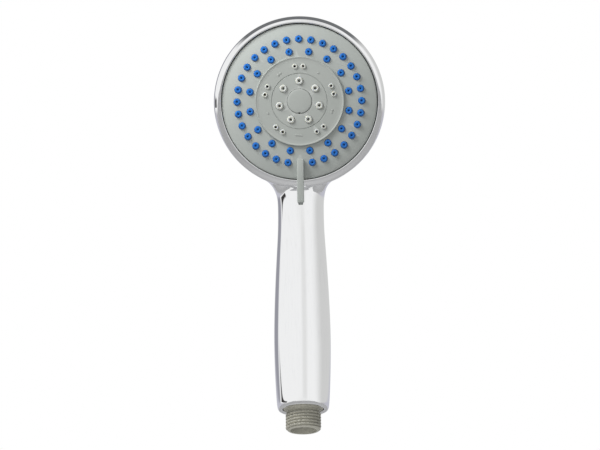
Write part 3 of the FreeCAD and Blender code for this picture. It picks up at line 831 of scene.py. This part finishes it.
@dataclass(frozen=True)
class TurnedFinish:
    """Machined or drawn metal, with fine tool marks."""

    name: str
    colour: Colour
    dull: Colour
    roughness: float = 0.28
    mark_scale: Colour = (300.0, 300.0, 6000.0)

    def material(self) -> bpy.types.Material:
        """Build the material.

        Returns:
            Metal with tool marks, a tone that drifts and brighter edges.
        """
        material, graph, shader = new_material(self.name)
        place = graph.add("ShaderNodeTexCoord").outputs["Object"]
        stretched = graph.add("ShaderNodeMapping", {"Vector": place, "Scale": self.mark_scale})
        lines = graph.noise(stretched.outputs[0], 1.0, 4.0, 0.6)
        edges = effect(graph, Effects.edges(), Wear=0.6, Dirt=0.5)
        cloud = graph.ramp(graph.noise(place, 220.0, 3.0, 0.5), 0.35, 0.75)
        colour = graph.blend(cloud, self.colour, self.dull)
        # painted shade: hollows darkened towards a dark copy of the dull tone, with some dirt
        colour = graph.blend(edges.outputs["Hollow"], colour, tuple(c * 0.3 for c in self.dull))
        graph.tree.links.new(colour, shader.inputs["Base Color"])
        rough = graph.maths("MULTIPLY_ADD", lines, 0.22, self.roughness - 0.1)
        rough = graph.maths("MULTIPLY_ADD", edges.outputs["Worn"], -0.1, rough)
        graph.tree.links.new(rough, shader.inputs["Roughness"])
        shader.inputs["Metallic"].default_value = 1.0
        bump = graph.add("ShaderNodeBump", {"Height": lines, "Strength": 0.3, "Distance": 0.00002})
        graph.tree.links.new(bump.outputs[0], shader.inputs["Normal"])
        return material


FINISHES = {
    Slot.CHROME: ChromeFinish(),
    Slot.CONNECTOR: MouldedFinish("connector_plastic", (0.50, 0.49, 0.42), (0.47, 0.46, 0.395),
                                  (0.60, 0.59, 0.52), roughness=0.42, wear=0.05, shade_and_dirt=0.35),
    Slot.FACE: MouldedFinish("satin_face_plastic", (0.45, 0.48, 0.455), (0.43, 0.46, 0.435),
                             (0.62, 0.64, 0.62), roughness=0.40, metallic=0.25),
    Slot.DISC: MouldedFinish("satin_disc_plastic", (0.43, 0.455, 0.43), (0.41, 0.435, 0.41),
                             (0.62, 0.64, 0.62), roughness=0.42, metallic=0.25),
    # the silicones get a stronger shade_and_dirt, so their mouths are painted dark as shade
    Slot.NOZZLE: MouldedFinish("blue_silicone", (0.007, 0.115, 0.42), (0.009, 0.135, 0.47),
                               (0.08, 0.30, 0.70), roughness=0.34, softness=0.25, wear=0.2,
                               shade_and_dirt=0.5, grain_scale=5200.0),
    Slot.JET: MouldedFinish("grey_silicone", (0.56, 0.575, 0.54), (0.52, 0.535, 0.50),
                            (0.70, 0.71, 0.68), roughness=0.36, softness=0.15, wear=0.2,
                            shade_and_dirt=0.5, grain_scale=5200.0),
    Slot.INNER: MouldedFinish("natural_plastic", (0.60, 0.60, 0.57), (0.55, 0.55, 0.52),
                              (0.75, 0.75, 0.72), roughness=0.45),
    Slot.TURBINE: MouldedFinish("slippery_plastic", (0.75, 0.74, 0.70), (0.70, 0.69, 0.65),
                                (0.85, 0.84, 0.80), roughness=0.35),
    Slot.SEAL: MouldedFinish("black_rubber", (0.018, 0.018, 0.019), (0.024, 0.024, 0.025),
                             (0.06, 0.06, 0.06), roughness=0.6, wear=0.3),
    Slot.SCREW: TurnedFinish("screw_steel", (0.60, 0.60, 0.60), (0.50, 0.50, 0.51)),
    Slot.STRAINER: TurnedFinish("strainer_steel", (0.20, 0.20, 0.19), (0.14, 0.14, 0.135),
                                roughness=0.45, mark_scale=(3000.0, 3000.0, 300.0)),
    Slot.SPRING: TurnedFinish("spring_steel", (0.58, 0.58, 0.59), (0.45, 0.45, 0.47)),
    Slot.BRASS: TurnedFinish("insert_brass", (0.72, 0.50, 0.22), (0.60, 0.41, 0.19)),
}
_MATERIALS: dict[Slot, bpy.types.Material] = {}


def finish(slot: Slot) -> bpy.types.Material:
    """Material of a slot, built the first time it is asked for.

    Args:
        slot: The slot.

    Returns:
        Its material.
    """
    if slot not in _MATERIALS:
        _MATERIALS[slot] = FINISHES[slot].material()
    return _MATERIALS[slot]


def dress(piece: bpy.types.Object, slot: Slot, body: Body, *stands_for: str) -> bpy.types.Object:
    """Finish a new piece, set it riding and let it stand for its CAD nodes.

    Args:
        piece: The modelled piece, in the row frame.
        slot: Its material slot.
        body: The body it moves with.
        *stands_for: The CAD nodes it replaces.

    Returns:
        The same piece.
    """
    piece.data.materials.clear()
    piece.data.materials.append(finish(slot))
    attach(piece, body.value)
    if stands_for:
        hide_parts(*stands_for)
    LOG.info("%s: %d faces", piece.name, len(piece.data.polygons))
    return piece


# ---------------------------------------------------------------- the chromed shell
@dataclass
class ChromeShell:
    """Domed head and curved handle, one hollow moulding with a blended neck.

    The lip and dome are rings of radius and height, and the handle, foot and bore are rings
    along its axis: station, half width and half depth, or station and radius. All are mm.
    """

    around: int = 48
    half_opening: int = 4
    edge_centre: float = 30.0
    edge_height: float = -4.5
    edge_radius: float = 22.0
    back_radius: float = 75.0
    wall: float = 2.6
    edge_turns: tuple[float, ...] = (0.0, 15.0, 30.0, 45.0)
    opening_rings: tuple[float, ...] = (38.0, 28.0)
    back_rings: tuple[float, ...] = (18.0, 8.0)
    lip_corner: Sequence[tuple[float, ...]] = ((47.4, -2.9), (47.4, -0.7), (47.55, -0.22))
    lip_turns: tuple[float, ...] = (12.0, 26.0, 40.0, 58.0, 76.0)
    lip_radius: float = 4.6
    lip_under: Sequence[tuple[float, ...]] = ((47.4, -3.9), (47.7, -3.95), (48.1, -4.05),
                                                  (48.5, -4.15), (48.9, -4.25),
                                                  (49.1, -4.35), (49.25, -4.45))
    neck_cuts: int = 4
    neck_relax: int = 11
    bend_start: float = 70.0
    bend_length: float = 70.0
    bend_angle: float = 9.0
    handle: Sequence[tuple[float, ...]] = (
        (13.2, 15.0, 14.9), (15.4, 15.5, 15.35), (24.0, 16.05, 15.75), (36.0, 16.6, 16.2),
        (47.0, 16.9, 16.45), (58.0, 17.05, 16.6), (70.0, 16.85, 16.4), (84.0, 16.4, 15.95),
        (98.0, 15.75, 15.3), (112.0, 14.95, 14.6), (126.0, 14.05, 14.2), (138.0, 14.0, 14.1),
        (143.0, 14.15, 14.0), (146.5, 14.7, 13.9))
    lean: dict[float, float] = field(default_factory=lambda: {
        126.0: 0.2, 138.0: 0.6, 143.0: 1.0, 146.5: 1.3})
    foot: Sequence[tuple[float, ...]] = ((12.35, 12.6), (12.3, 13.7), (12.45, 14.4))
    bore: Sequence[tuple[float, ...]] = ((13.0, 12.05), (16.0, 12.0), (32.4, 12.0), (33.2, 12.4))
    shrink_ring: float = 1.0029
    subdivision: int = 2

    @property
    def opening_vertices(self) -> int:
        """Vertices around the neck's opening in the dome, and around the handle."""
        rows = len(self.edge_turns) + len(self.opening_rings)
        return 2 * (2 * self.half_opening + 1) + 2 * (rows - 2)

    def lip(self) -> list[tuple[float, float]]:
        """Rings of the quarter-round lip, from its inner wall out."""
        centre = self.edge_centre + self.edge_radius - self.lip_radius
        rings = [(centre + self.lip_radius * math.sin(math.radians(turn)),
                  self.edge_height * (1.0 - math.cos(math.radians(turn))) - 0.12)
                 for turn in self.lip_turns]
        return [*self.lip_corner, *rings]

    def dome(self, inset: float) -> list[tuple[float, float]]:
        """Rings of the dome's edge and back.

        Args:
            inset: How far inside the outer surface, in mm.

        Returns:
            Radius and height of each ring, ending in the pole.
        """
        rings = []
        for turn in self.edge_turns:
            angle = math.radians(turn)
            reach = self.edge_radius - inset
            rings.append((self.edge_centre + reach * math.cos(angle),
                          self.edge_height - reach * math.sin(angle)))
        span = self.back_radius - self.edge_radius
        centre = math.sqrt(span ** 2 - self.edge_centre ** 2) + self.edge_height
        radius = self.back_radius - inset
        for ring in (*self.opening_rings, *self.back_rings, 0.0):
            rings.append((ring, centre - math.sqrt(radius ** 2 - ring ** 2)))
        return rings

    def bowl(self, name: str, rim: Profile, inset: float) -> bpy.types.Object:
        """Turn the dome and open it where the handle enters.

        Args:
            name: The piece's name.
            rim: Rings of the lip, from the inside out.
            inset: How far inside the outer surface the dome lies, in mm.

        Returns:
            The open dome in the row frame.
        """
        dome = self.dome(inset)
        rings = [(radius * self.shrink_ring, height) for radius, height in (*rim, *dome)]
        piece = lathe(name, rings, self.around)
        front = dome[0]
        back = dome[len(self.edge_turns) + len(self.opening_rings) - 1]
        reach = math.radians(360.0 / self.around * self.half_opening)

        def in_opening(face: bmesh.types.BMFace) -> bool:
            """Whether a face lies where the handle enters."""
            centre = face.calc_center_median() / MM
            angle = math.atan2(centre.x, -centre.y)
            return (abs(angle) < reach and back[1] < centre.z < front[1]
                    and centre.xy.length > back[0])

        with editing(piece):
            pick(piece, Select.FACE, in_opening)
            bpy.ops.mesh.delete(type="FACE")
        return set_in_head(piece)

    def tube(self, name: str, sections: Sequence[tuple[float, float, float]]) -> bpy.types.Object:
        """Extrude the handle straight up through its sections, then bend it forward.

        Args:
            name: The piece's name.
            sections: Station, half width and half depth of each ring, in mm.

        Returns:
            The open tube in the row frame.
        """
        count = self.opening_vertices
        grow = 1.0 / (2.0 / 3.0 + math.cos(2.0 * math.pi / count) / 3.0)
        station, width, depth = sections[0]
        piece = lathe(name, [(width * grow, station)], count)
        with editing(piece):
            bpy.ops.mesh.select_mode(type="EDGE")
            bpy.ops.mesh.select_all(action="SELECT")
            for next_station, next_width, next_depth in sections[1:]:
                rise = (0.0, 0.0, (next_station - station) * MM)
                bpy.ops.mesh.extrude_edges_move(TRANSFORM_OT_translate={"value": rise})
                bpy.ops.transform.resize(value=(next_width / width, next_depth / depth, 1.0),
                                         center_override=(0.0, 0.0, next_station * MM))
                station, width, depth = next_station, next_width, next_depth
            for ring, (ring_station, _, _) in enumerate(sections):
                pick(piece, Select.VERT, lambda vert: vert.index // count == ring)
                forward = -self.lean.get(ring_station, 0.0) * MM
                bpy.ops.transform.translate(value=(0.0, forward, 0.0))
        self.bend(piece, sections)
        return piece

    def bend(self, piece: bpy.types.Object, sections: Sequence[tuple[float, float, float]]) -> None:
        """Turn the rings of a straight tube onto the handle's curved axis, joint by joint.

        Args:
            piece: The straight tube.
            sections: Its rings, as it was extruded.
        """
        radius = self.bend_length / math.radians(self.bend_angle)
        heights = [section[0] for section in sections]
        count = self.opening_vertices
        turned = 0.0
        with editing(piece):
            for index in range(1, len(heights)):
                middle = (heights[index - 1] + heights[index]) / 2.0
                share = (heights[index] - self.bend_start) / self.bend_length
                wanted = math.radians(self.bend_angle) * min(max(share, 0.0), 1.0)
                if wanted <= turned:
                    continue
                pick(piece, Select.VERT, lambda vert: vert.index >= index * count)
                pivot = self.joint(middle, radius)
                bpy.ops.transform.rotate(value=-(wanted - turned), orient_axis="X",
                                         center_override=pivot)
                turned = wanted

    def joint(self, station: float, radius: float) -> tuple[float, float, float]:
        """Point of the handle's axis at a station.

        Args:
            station: Distance along the axis in mm.
            radius: Radius of its bend in mm.

        Returns:
            The point in metres.
        """
        turn = min(max(station - self.bend_start, 0.0), self.bend_length) / radius
        beyond = max(station - self.bend_start - self.bend_length, 0.0)
        straight = min(station, self.bend_start)
        return (0.0, -(radius * (1.0 - math.cos(turn)) + beyond * math.sin(turn)) * MM,
                (straight + radius * math.sin(turn) + beyond * math.cos(turn)) * MM)

    def skin(self, name: str, rim: Profile, inset: float,
             foot: Sequence[tuple[float, float, float]]) -> bpy.types.Object:
        """Dome and handle bridged into one open skin.

        Args:
            name: The skin's name.
            rim: Rings of the lip.
            inset: How far inside the outer surface it lies, in mm.
            foot: Sections at the handle's lower end, from the end up.

        Returns:
            The skin.
        """
        start = foot[-1][0]
        run = [(station, width - inset, depth - inset)
               for station, width, depth in self.handle if station > start]
        bowl = self.bowl(name, rim, inset)
        tube = self.tube(name + "_handle", [*foot, *run])
        skin = join(name, [bowl, tube])
        turn_back = HEAD.inverted()
        lip_height = rim[0][1] - 1.0
        foot_height = (foot[0][0] + 1.0) * MM

        def at_neck(edge: bmesh.types.BMEdge) -> bool:
            """Whether an edge is on the rim of the dome's opening or of the handle's top."""
            middle = (edge.verts[0].co + edge.verts[1].co) / 2.0
            near_lip = (turn_back @ middle).z > lip_height * MM and edge.verts[0].co.z > 0.16
            in_lip = near_lip and abs((turn_back @ middle).xy.length / MM - rim[0][0]) < 0.6
            return edge.is_boundary and not in_lip and middle.z > foot_height

        with editing(skin):
            LOG.info("%s: %d edges bridged at the neck", name, pick(skin, Select.EDGE, at_neck))
            bpy.ops.mesh.bridge_edge_loops(number_cuts=self.neck_cuts, interpolation="LINEAR")
            neck = {face.index for face in bmesh.from_edit_mesh(skin.data).faces if face.select}
            pick(skin, Select.VERT, lambda vert: vert.link_faces and all(
                face.index in neck for face in vert.link_faces))
            bpy.ops.mesh.vertices_smooth(factor=0.5, repeat=self.neck_relax)
            bpy.ops.mesh.select_all(action="SELECT")
            bpy.ops.mesh.normals_make_consistent(inside=inset > 0.0)
        return skin

    def build(self) -> bpy.types.Object:
        """Model and dress the shell.

        Returns:
            The finished piece.
        """
        foot = [(height, radius, radius) for height, radius in self.foot]
        outer = self.skin("chromed_shell", self.lip(), 0.0, foot)
        bore = [(height, radius, radius) for height, radius in self.bore]
        inner = self.skin("shell_inside", self.lip_under, self.wall, bore)
        shell = join("chromed_shell", [outer, inner])

        def open_near_lip(edge: bmesh.types.BMEdge) -> bool:
            """Whether an edge is on an open rim in the head."""
            return edge.is_boundary and edge.verts[0].co.z > self.bend_start * MM

        def open_at_foot(edge: bmesh.types.BMEdge) -> bool:
            """Whether an edge is on an open rim at the handle's lower end."""
            return edge.is_boundary and edge.verts[0].co.z < self.bend_start * MM

        with editing(shell):
            for rule in (open_near_lip, open_at_foot):
                LOG.info("rim edges bridged: %d", pick(shell, Select.EDGE, rule))
                bpy.ops.mesh.bridge_edge_loops()
        apply_modifier(shell, "SUBSURF", levels=self.subdivision, render_levels=self.subdivision)
        smooth(shell, 180.0)
        return dress(shell, Slot.CHROME, Body.BODY, "body_shell")


# ---------------------------------------------------------------- the spray face
@dataclass
class SprayFace:
    """Face plate, its blue nozzles and the selector lever."""

    around: int = 192
    rim_radius: float = 47.1
    seat_radius: float = 27.05
    bore_radius: float = 25.2
    nozzle_radius: float = 2.15
    nozzle_hole: float = 2.27
    outer_ring: float = 37.7
    outer_places: int = 32
    inner_ring: float = 30.4
    inner_places: int = 16
    lever_width: float = 4.2
    lever_start: float = 35.0
    lever_reach: float = 61.2
    lever_low: float = 0.75
    lever_high: float = 3.15
    lever_bevel: float = 0.4
    foot_end: float = 46.2
    foot_room: float = 0.1
    foot_bottom: float = -2.0
    tip_length: float = 1.4
    tip_step: float = 0.22
    bevel: float = 0.14
    mat_inner: float = 27.7
    mat_middle: float = 36.0
    mat_outer: float = 45.7
    mat_front: float = -3.05
    mat_back: float = -4.15

    def nozzle_places(self) -> list[Vector]:
        """Places of the blue nozzles, with the one under the lever left out."""
        under_lever = self.outer_places // 2
        return [*spread(self.outer_ring, self.outer_places, 90.0, (under_lever,)),
                *spread(self.inner_ring, self.inner_places, 90.0 - 180.0 / self.inner_places)]

    def plate(self) -> bpy.types.Object:
        """Shallow dished plate with a hole for each nozzle and a slot for the lever's foot.

        Returns:
            The finished piece.
        """
        profile = [(self.seat_radius, 0.0), (29.5, 0.0), (33.5, -0.02), (37.0, -0.17),
                   (40.5, -0.46), (43.5, -0.86), (45.6, -1.2), (46.6, -1.42),
                   (46.95, -1.62), (self.rim_radius, -1.95), (self.rim_radius, -10.2),
                   (45.9, -10.2), (45.9, -3.0), (self.bore_radius, -3.0),
                   (self.bore_radius, -1.6), (self.seat_radius, -1.6)]
        plate = lathe("spray_plate", profile, self.around, closed=True,
                      start_angle=180.0 / self.around)
        drill = lathe("drill", [(self.nozzle_hole, -4.0), (self.nozzle_hole, 1.0)], 32)
        with editing(drill):
            bpy.ops.mesh.select_all(action="DESELECT")
            bpy.ops.mesh.select_non_manifold()
            bpy.ops.mesh.edge_face_add()
            pick(drill, Select.EDGE, lambda edge: edge.is_boundary)
            bpy.ops.mesh.fill_holes(sides=0)
            bpy.ops.mesh.select_all(action="SELECT")
            bpy.ops.mesh.normals_make_consistent(inside=False)
        drills = join("drills", copies(drill, self.nozzle_places()))
        cut(plate, drills)
        deselect()
        middle = (self.lever_start + self.foot_end) / 2.0
        bpy.ops.mesh.primitive_cube_add(size=1.0, location=(0.0, -middle * MM, -1.5 * MM))
        slot = bpy.context.object
        length = self.foot_end - self.lever_start + self.foot_room
        slot.scale = ((self.lever_width + self.foot_room) * MM, length * MM, 5.0 * MM)
        bpy.ops.object.transform_apply(location=True, rotation=True, scale=True)
        cut(plate, slot)
        apply_modifier(plate, "BEVEL", width=self.bevel * MM, segments=2,
                       limit_method="ANGLE", angle_limit=math.radians(40.0))
        smooth(plate, 40.0)
        apply_modifier(plate, "WEIGHTED_NORMAL", keep_sharp=True)
        return dress(set_in_head(plate), Slot.FACE, Body.SELECTOR, "face_plate")

    def nozzles(self) -> bpy.types.Object:
        """Silicone mat behind the plate with its soft nozzles, each with a dimpled mouth.

        Returns:
            The finished piece.
        """
        shape = [(0.45, -4.2), (0.45, 0.45), (0.56, 0.66), (0.80, 0.80), (1.10, 0.89),
                 (1.42, 0.90), (1.72, 0.80), (1.96, 0.58), (2.10, 0.28),
                 (self.nozzle_radius, 0.0), (self.nozzle_radius, -4.2)]
        nozzle = lathe("nozzle", shape, 28, closed=True)
        nozzles = copies(nozzle, self.nozzle_places())
        radii = (self.mat_inner, self.mat_middle, self.mat_outer)
        section = [(radius, self.mat_front) for radius in radii]
        section += [(radius, self.mat_back) for radius in reversed(radii)]
        mat = lathe("mat", section, self.around // 2, closed=True)
        joined = join("nozzle_mat_blue", [mat, *nozzles])
        smooth(joined, 50.0)
        return dress(set_in_head(joined), Slot.NOZZLE, Body.SELECTOR, "nozzle_mat")

    def lever(self) -> bpy.types.Object:
        """Selector lever: a bar with a foot in the plate and a stepped tip.

        Returns:
            The finished piece.
        """
        deselect()
        length = self.lever_reach - self.lever_start
        middle = (self.lever_reach + self.lever_start) / 2.0
        height = self.lever_high - self.lever_low
        centre = Vector((0.0, -middle, self.lever_low + height / 2.0)) * MM
        bpy.ops.mesh.primitive_cube_add(size=1.0, location=centre)
        bar = bpy.context.object
        bar.scale = (self.lever_width * MM, length * MM, height * MM)
        bpy.ops.object.transform_apply(location=True, rotation=True, scale=True)
        with editing(bar):
            for place in (-self.foot_end, self.tip_length - self.lever_reach):
                bpy.ops.mesh.select_all(action="SELECT")
                bpy.ops.mesh.bisect(plane_co=(0.0, place * MM, 0.0), plane_no=(0.0, 1.0, 0.0))
            pick(bar, Select.FACE, lambda face: face.normal.z < -0.9
                 and face.calc_center_median().y > -self.foot_end * MM)
            drop = (0.0, 0.0, (self.foot_bottom - self.lever_low) * MM)
            bpy.ops.mesh.extrude_region_move(TRANSFORM_OT_translate={"value": drop})
            pick(bar, Select.FACE, lambda face: face.normal.z > 0.9
                 and face.calc_center_median().y < (self.tip_length - self.lever_reach) * MM)
            bpy.ops.transform.translate(value=(0.0, 0.0, -self.tip_step * MM))
            bpy.ops.mesh.select_all(action="SELECT")
            bpy.ops.mesh.normals_make_consistent(inside=False)
        apply_modifier(bar, "BEVEL", width=self.lever_bevel * MM, segments=3,
                       limit_method="ANGLE", angle_limit=math.radians(40.0))
        smooth(bar, 40.0)
        bar.name = bar.data.name = "mode_lever"
        return dress(set_in_head(bar), Slot.FACE, Body.SELECTOR, "selector_lever")

    def build(self) -> None:
        """Model and dress the whole face."""
        self.plate()
        self.nozzles()
        self.lever()


# ---------------------------------------------------------------- the centre
@dataclass
class CentreDisc:
    """Raised centre disc with paired openings, the massage jets and the cap."""

    around: int = 160
    disc_radius: float = 27.0
    disc_top: float = 1.2
    groove_radius: float = 16.8
    cap_radius: float = 7.4
    cap_hole: float = 7.6
    jet_ring: float = 12.3
    jet_count: int = 7
    jet_hole: float = 2.5
    pair_ring: float = 21.2
    pair_count: int = 5
    pair_half_gap: float = 2.57
    pair_hole: float = 1.2
    notch_radius: float = 0.75
    mark_ring: float = 20.5
    mark_radius: float = 0.7
    mark_height: float = 0.4
    mark_step: float = 4.2

    def jet_places(self) -> list[Vector]:
        """Places of the massage jets."""
        return spread(self.jet_ring, self.jet_count, 90.0)

    def pair_places(self) -> list[Vector]:
        """Places of the paired openings."""
        lean = math.degrees(math.asin(self.pair_half_gap / self.pair_ring))
        places = []
        for index in range(self.pair_count):
            middle = 90.0 - 360.0 / self.pair_count * index
            places += [polar(self.pair_ring, middle - lean), polar(self.pair_ring, middle + lean)]
        return places

    def drill(self, radius: float, places: Sequence[Vector]) -> bpy.types.Object:
        """Row of drills that cuts round holes.

        Args:
            radius: Radius of the holes in mm.
            places: Where they go.

        Returns:
            The joined tool.
        """
        deselect()
        bpy.ops.mesh.primitive_cylinder_add(vertices=36, radius=radius * MM, depth=9.0 * MM)
        return join("drills", copies(bpy.context.object, places))

    def disc(self) -> bpy.types.Object:
        """Turned disc with a raised rim, a fine groove, rimmed openings and raised marks.

        Returns:
            The finished piece.
        """
        top = self.disc_top
        groove = self.groove_radius
        profile = [(self.cap_hole, top), (10.0, top), (14.8, top), (groove - 0.3, top),
                   (groove - 0.12, top - 0.25), (groove + 0.12, top - 0.25),
                   (groove + 0.3, top), (20.0, top), (23.5, top), (25.6, top),
                   (25.95, top + 0.08), (26.2, top + 0.22), (26.45, top + 0.28),
                   (26.75, top + 0.26), (26.95, top + 0.1), (self.disc_radius, top - 0.15),
                   (self.disc_radius, -1.58), (25.1, -1.6), (25.1, -3.2),
                   (self.cap_hole, -3.2)]
        disc = lathe("centre_plate", profile, self.around, closed=True)
        cut(disc, self.drill(self.jet_hole, self.jet_places()))
        cut(disc, self.drill(self.pair_hole, self.pair_places()))
        rim = lathe("rim", [(0.72, -1.0), (0.72, 1.62), (0.78, 1.80), (0.96, 1.93),
                            (1.20, 1.95), (1.42, 1.84), (1.57, 1.58), (1.62, 1.15),
                            (1.62, 0.6), (1.2, -1.0)], 28, closed=True)
        rims = join("pair_rims", copies(rim, self.pair_places()))
        smooth(rims, 50.0)
        marks = self.marks()
        smooth(disc, 32.0)
        dressed = dress(set_in_head(join("centre_plate", [disc, marks])), Slot.DISC,
                        Body.SELECTOR, "centre_disc")
        dress(set_in_head(rims), Slot.JET, Body.SELECTOR)
        return dressed

    def marks(self) -> bpy.types.Object:
        """Plain raised dots, in rows of one to three, that tell the spray modes apart.

        Returns:
            The joined dots.
        """
        deselect()
        made = []
        for index in range(self.pair_count):
            middle = 90.0 - 360.0 / self.pair_count * (index + 0.5)
            for step in range(-1, index % 3):
                bpy.ops.mesh.primitive_cylinder_add(vertices=20, radius=self.mark_radius * MM,
                                                    depth=self.mark_height * MM)
                dot = bpy.context.object
                with editing(dot):
                    pick(dot, Select.FACE, lambda face: face.normal.z > 0.9)
                    bpy.ops.mesh.bevel(offset=0.08 * MM, segments=2)
                    bpy.ops.mesh.select_all(action="SELECT")
                    angle = middle - self.mark_step * (step + 0.5)
                    place = polar(self.mark_ring, angle, self.disc_top)
                    bpy.ops.transform.translate(value=place * MM)
                smooth(dot, 40.0)
                made.append(dot)
        return join("mode_marks", made)

    def jets(self) -> bpy.types.Object:
        """Soft insert with the seven massage jets.

        Returns:
            The finished piece.
        """
        shape = [(0.80, -3.0), (0.80, 1.66), (0.92, 1.92), (1.22, 2.05), (1.56, 2.10),
                 (1.88, 2.04), (2.16, 1.84), (2.33, 1.50), (2.40, 1.1), (2.40, -3.0)]
        jet = lathe("jet", shape, 36, closed=True)
        web = lathe("web", [(9.6, -1.2), (15.0, -1.2), (15.0, -2.4), (9.6, -2.4)], 72, closed=True)
        joined = join("massage_jets", [web, *copies(jet, self.jet_places())])
        smooth(joined, 50.0)
        return dress(set_in_head(joined), Slot.JET, Body.SELECTOR, "jet_insert")

    def cap(self) -> bpy.types.Object:
        """Snap-in cap with a crowned top, a rounded edge and a notch to lift it by.

        Returns:
            The finished piece.
        """
        profile = [(self.cap_radius, -0.4), (self.cap_radius, 1.28), (7.33, 1.42), (7.12, 1.52),
                   (6.6, 1.58), (5.0, 1.63), (3.0, 1.66), (1.2, 1.68), (0.0, 1.68)]
        cap = lathe("screw_cap", profile, 96)
        with editing(cap):
            bpy.ops.mesh.select_all(action="DESELECT")
            bpy.ops.mesh.select_non_manifold()
            bpy.ops.mesh.fill_holes(sides=0)
            bpy.ops.mesh.select_all(action="SELECT")
            bpy.ops.mesh.normals_make_consistent(inside=False)
        cut(cap, self.drill(self.notch_radius, [Vector((0.0, -self.cap_radius, 0.0))]))
        apply_modifier(cap, "BEVEL", width=0.05 * MM, segments=2, limit_method="ANGLE",
                       angle_limit=math.radians(45.0))
        smooth(cap, 35.0)
        return dress(set_in_head(cap), Slot.DISC, Body.SELECTOR, "centre_cap")

    def build(self) -> None:
        """Model and dress the whole centre."""
        self.disc()
        self.jets()
        self.cap()


# ---------------------------------------------------------------- the hose connection
@dataclass
class HoseConnector:
    """Threaded inlet with a helical thread, its shoulder and the collar in the handle."""

    major: float = 10.4775
    pitch: float = 1.814
    depth: float = 1.16
    crest: float = 0.50
    bore: float = 7.8
    thread_top: float = 10.7
    shoulder: float = 12.9
    collar: float = 11.85
    collar_top: float = 32.0
    steps: int = 72

    def thread(self) -> bpy.types.Object:
        """Wind one pitch of the thread's profile into a helix and trim its ends.

        Returns:
            The solid thread.
        """
        root = self.major - self.depth
        flank = (self.pitch - 2.0 * self.crest) / 2.0
        rounding = (self.depth * 0.12, flank * 0.14)
        slant = (self.depth * 0.76, flank * 0.72)
        deselect()
        bpy.ops.mesh.primitive_circle_add(vertices=3, radius=root * MM)
        wire = bpy.context.object
        bpy.ops.object.transform_apply(location=True, rotation=True, scale=True)
        bottom = -2.0 * self.pitch
        with editing(wire):
            pick(wire, Select.VERT, lambda vert: vert.index > 0)
            bpy.ops.mesh.delete(type="VERT")
            bpy.ops.mesh.select_all(action="SELECT")
            point = next(iter(bmesh.from_edit_mesh(wire.data).verts)).co.copy()
            goal = Vector((root, 0.0, bottom)) * MM
            bpy.ops.transform.translate(value=goal - point)
            rising = [rounding, slant, rounding]
            corners = [*rising, (0.0, self.crest),
                       *((-out, rise) for out, rise in rising), (0.0, self.crest)]
            for out, rise in corners:
                bpy.ops.mesh.extrude_vertices_move(
                    TRANSFORM_OT_translate={"value": (out * MM, 0.0, rise * MM)})
        turns = int(self.shoulder / self.pitch) + 4
        apply_modifier(wire, "SCREW", angle=2.0 * math.pi, screw_offset=self.pitch * MM,
                       iterations=turns, steps=self.steps, render_steps=self.steps,
                       use_merge_vertices=True, merge_threshold=0.00001)
        with editing(wire):
            for height, sign in ((-0.4, 1.0), (self.shoulder + 0.6, -1.0)):
                bpy.ops.mesh.select_all(action="SELECT")
                bpy.ops.mesh.bisect(plane_co=(0.0, 0.0, height * MM), plane_no=(0.0, 0.0, sign),
                                    use_fill=True, clear_inner=True)
            bpy.ops.mesh.select_all(action="SELECT")
            bpy.ops.mesh.remove_doubles(threshold=0.00001)
            bpy.ops.mesh.normals_make_consistent(inside=False)
        wire.name = "thread"
        return wire

    def build(self) -> bpy.types.Object:
        """Model and dress the connector.

        Returns:
            The finished piece.
        """
        thread = self.thread()
        wall = [(self.bore, 0.0), (8.6, 0.0), (9.1, 0.05), (9.7, 0.45), (self.major, 1.25),
                (self.major, self.thread_top - 0.7), (9.5, self.thread_top + 0.3),
                (9.3, self.shoulder + 0.3), (self.bore, self.shoulder + 0.3)]
        cut(thread, lathe("envelope", wall, 96, closed=True), "INTERSECT")
        stem = lathe("stem", [(self.bore + 0.02, 9.4), (9.0, 9.4), (9.25, 10.6),
                              (9.32, self.shoulder - 0.6), (9.7, self.shoulder - 0.12),
                              (10.3, self.shoulder), (self.collar - 0.35, self.shoulder),
                              (self.collar, self.shoulder + 0.35), (self.collar, 20.0),
                              (self.collar, self.collar_top), (self.bore + 0.02, self.collar_top)],
                     128, closed=True)
        connector = join("hose_connector", [thread, stem])
        smooth(connector, 34.0)
        return dress(connector, Slot.CONNECTOR, Body.BODY, "inlet_connector")


# ---------------------------------------------------------------- pieces kept from the CAD
@dataclass
class Waterway:
    """Everything inside, kept as the CAD has it and given its real finish."""

    finishes: dict[Slot, tuple[str, ...]] = field(default_factory=lambda: {
        Slot.INNER: ("flow_restrictor", "waterway_tube", "manifold", "detent_plunger",
                     "distributor", "chamber_plate", "swirl_plate"),
        Slot.TURBINE: ("massage_turbine",),
        Slot.SEAL: ("connector_o_ring", "restrictor_o_ring", "tube_lower_o_ring",
                    "tube_upper_o_ring", "port_seal"),
        Slot.SCREW: ("manifold_screws", "centre_washer", "centre_screw"),
        Slot.STRAINER: ("inlet_screen",),
        Slot.SPRING: ("port_spring", "detent_spring"),
        Slot.BRASS: ("pivot_insert",),
    })

    def build(self) -> None:
        """Give each kept node the material of its slot."""
        for slot, names in self.finishes.items():
            for name in names:
                mesh = frame["nodes"][name].data
                if not mesh.materials:
                    mesh.materials.append(None)
                for index in range(len(mesh.materials)):
                    mesh.materials[index] = finish(slot)
            LOG.info("%s: %s", slot.value, ", ".join(names))


def main() -> None:
    """Build everything in order."""
    logging.basicConfig(level=logging.INFO, format="%(name)s: %(message)s")
    Studio().build()
    ChromeShell().build()
    SprayFace().build()
    CentreDisc().build()
    HoseConnector().build()
    Waterway().build()


if __name__ == "__main__":
    main()
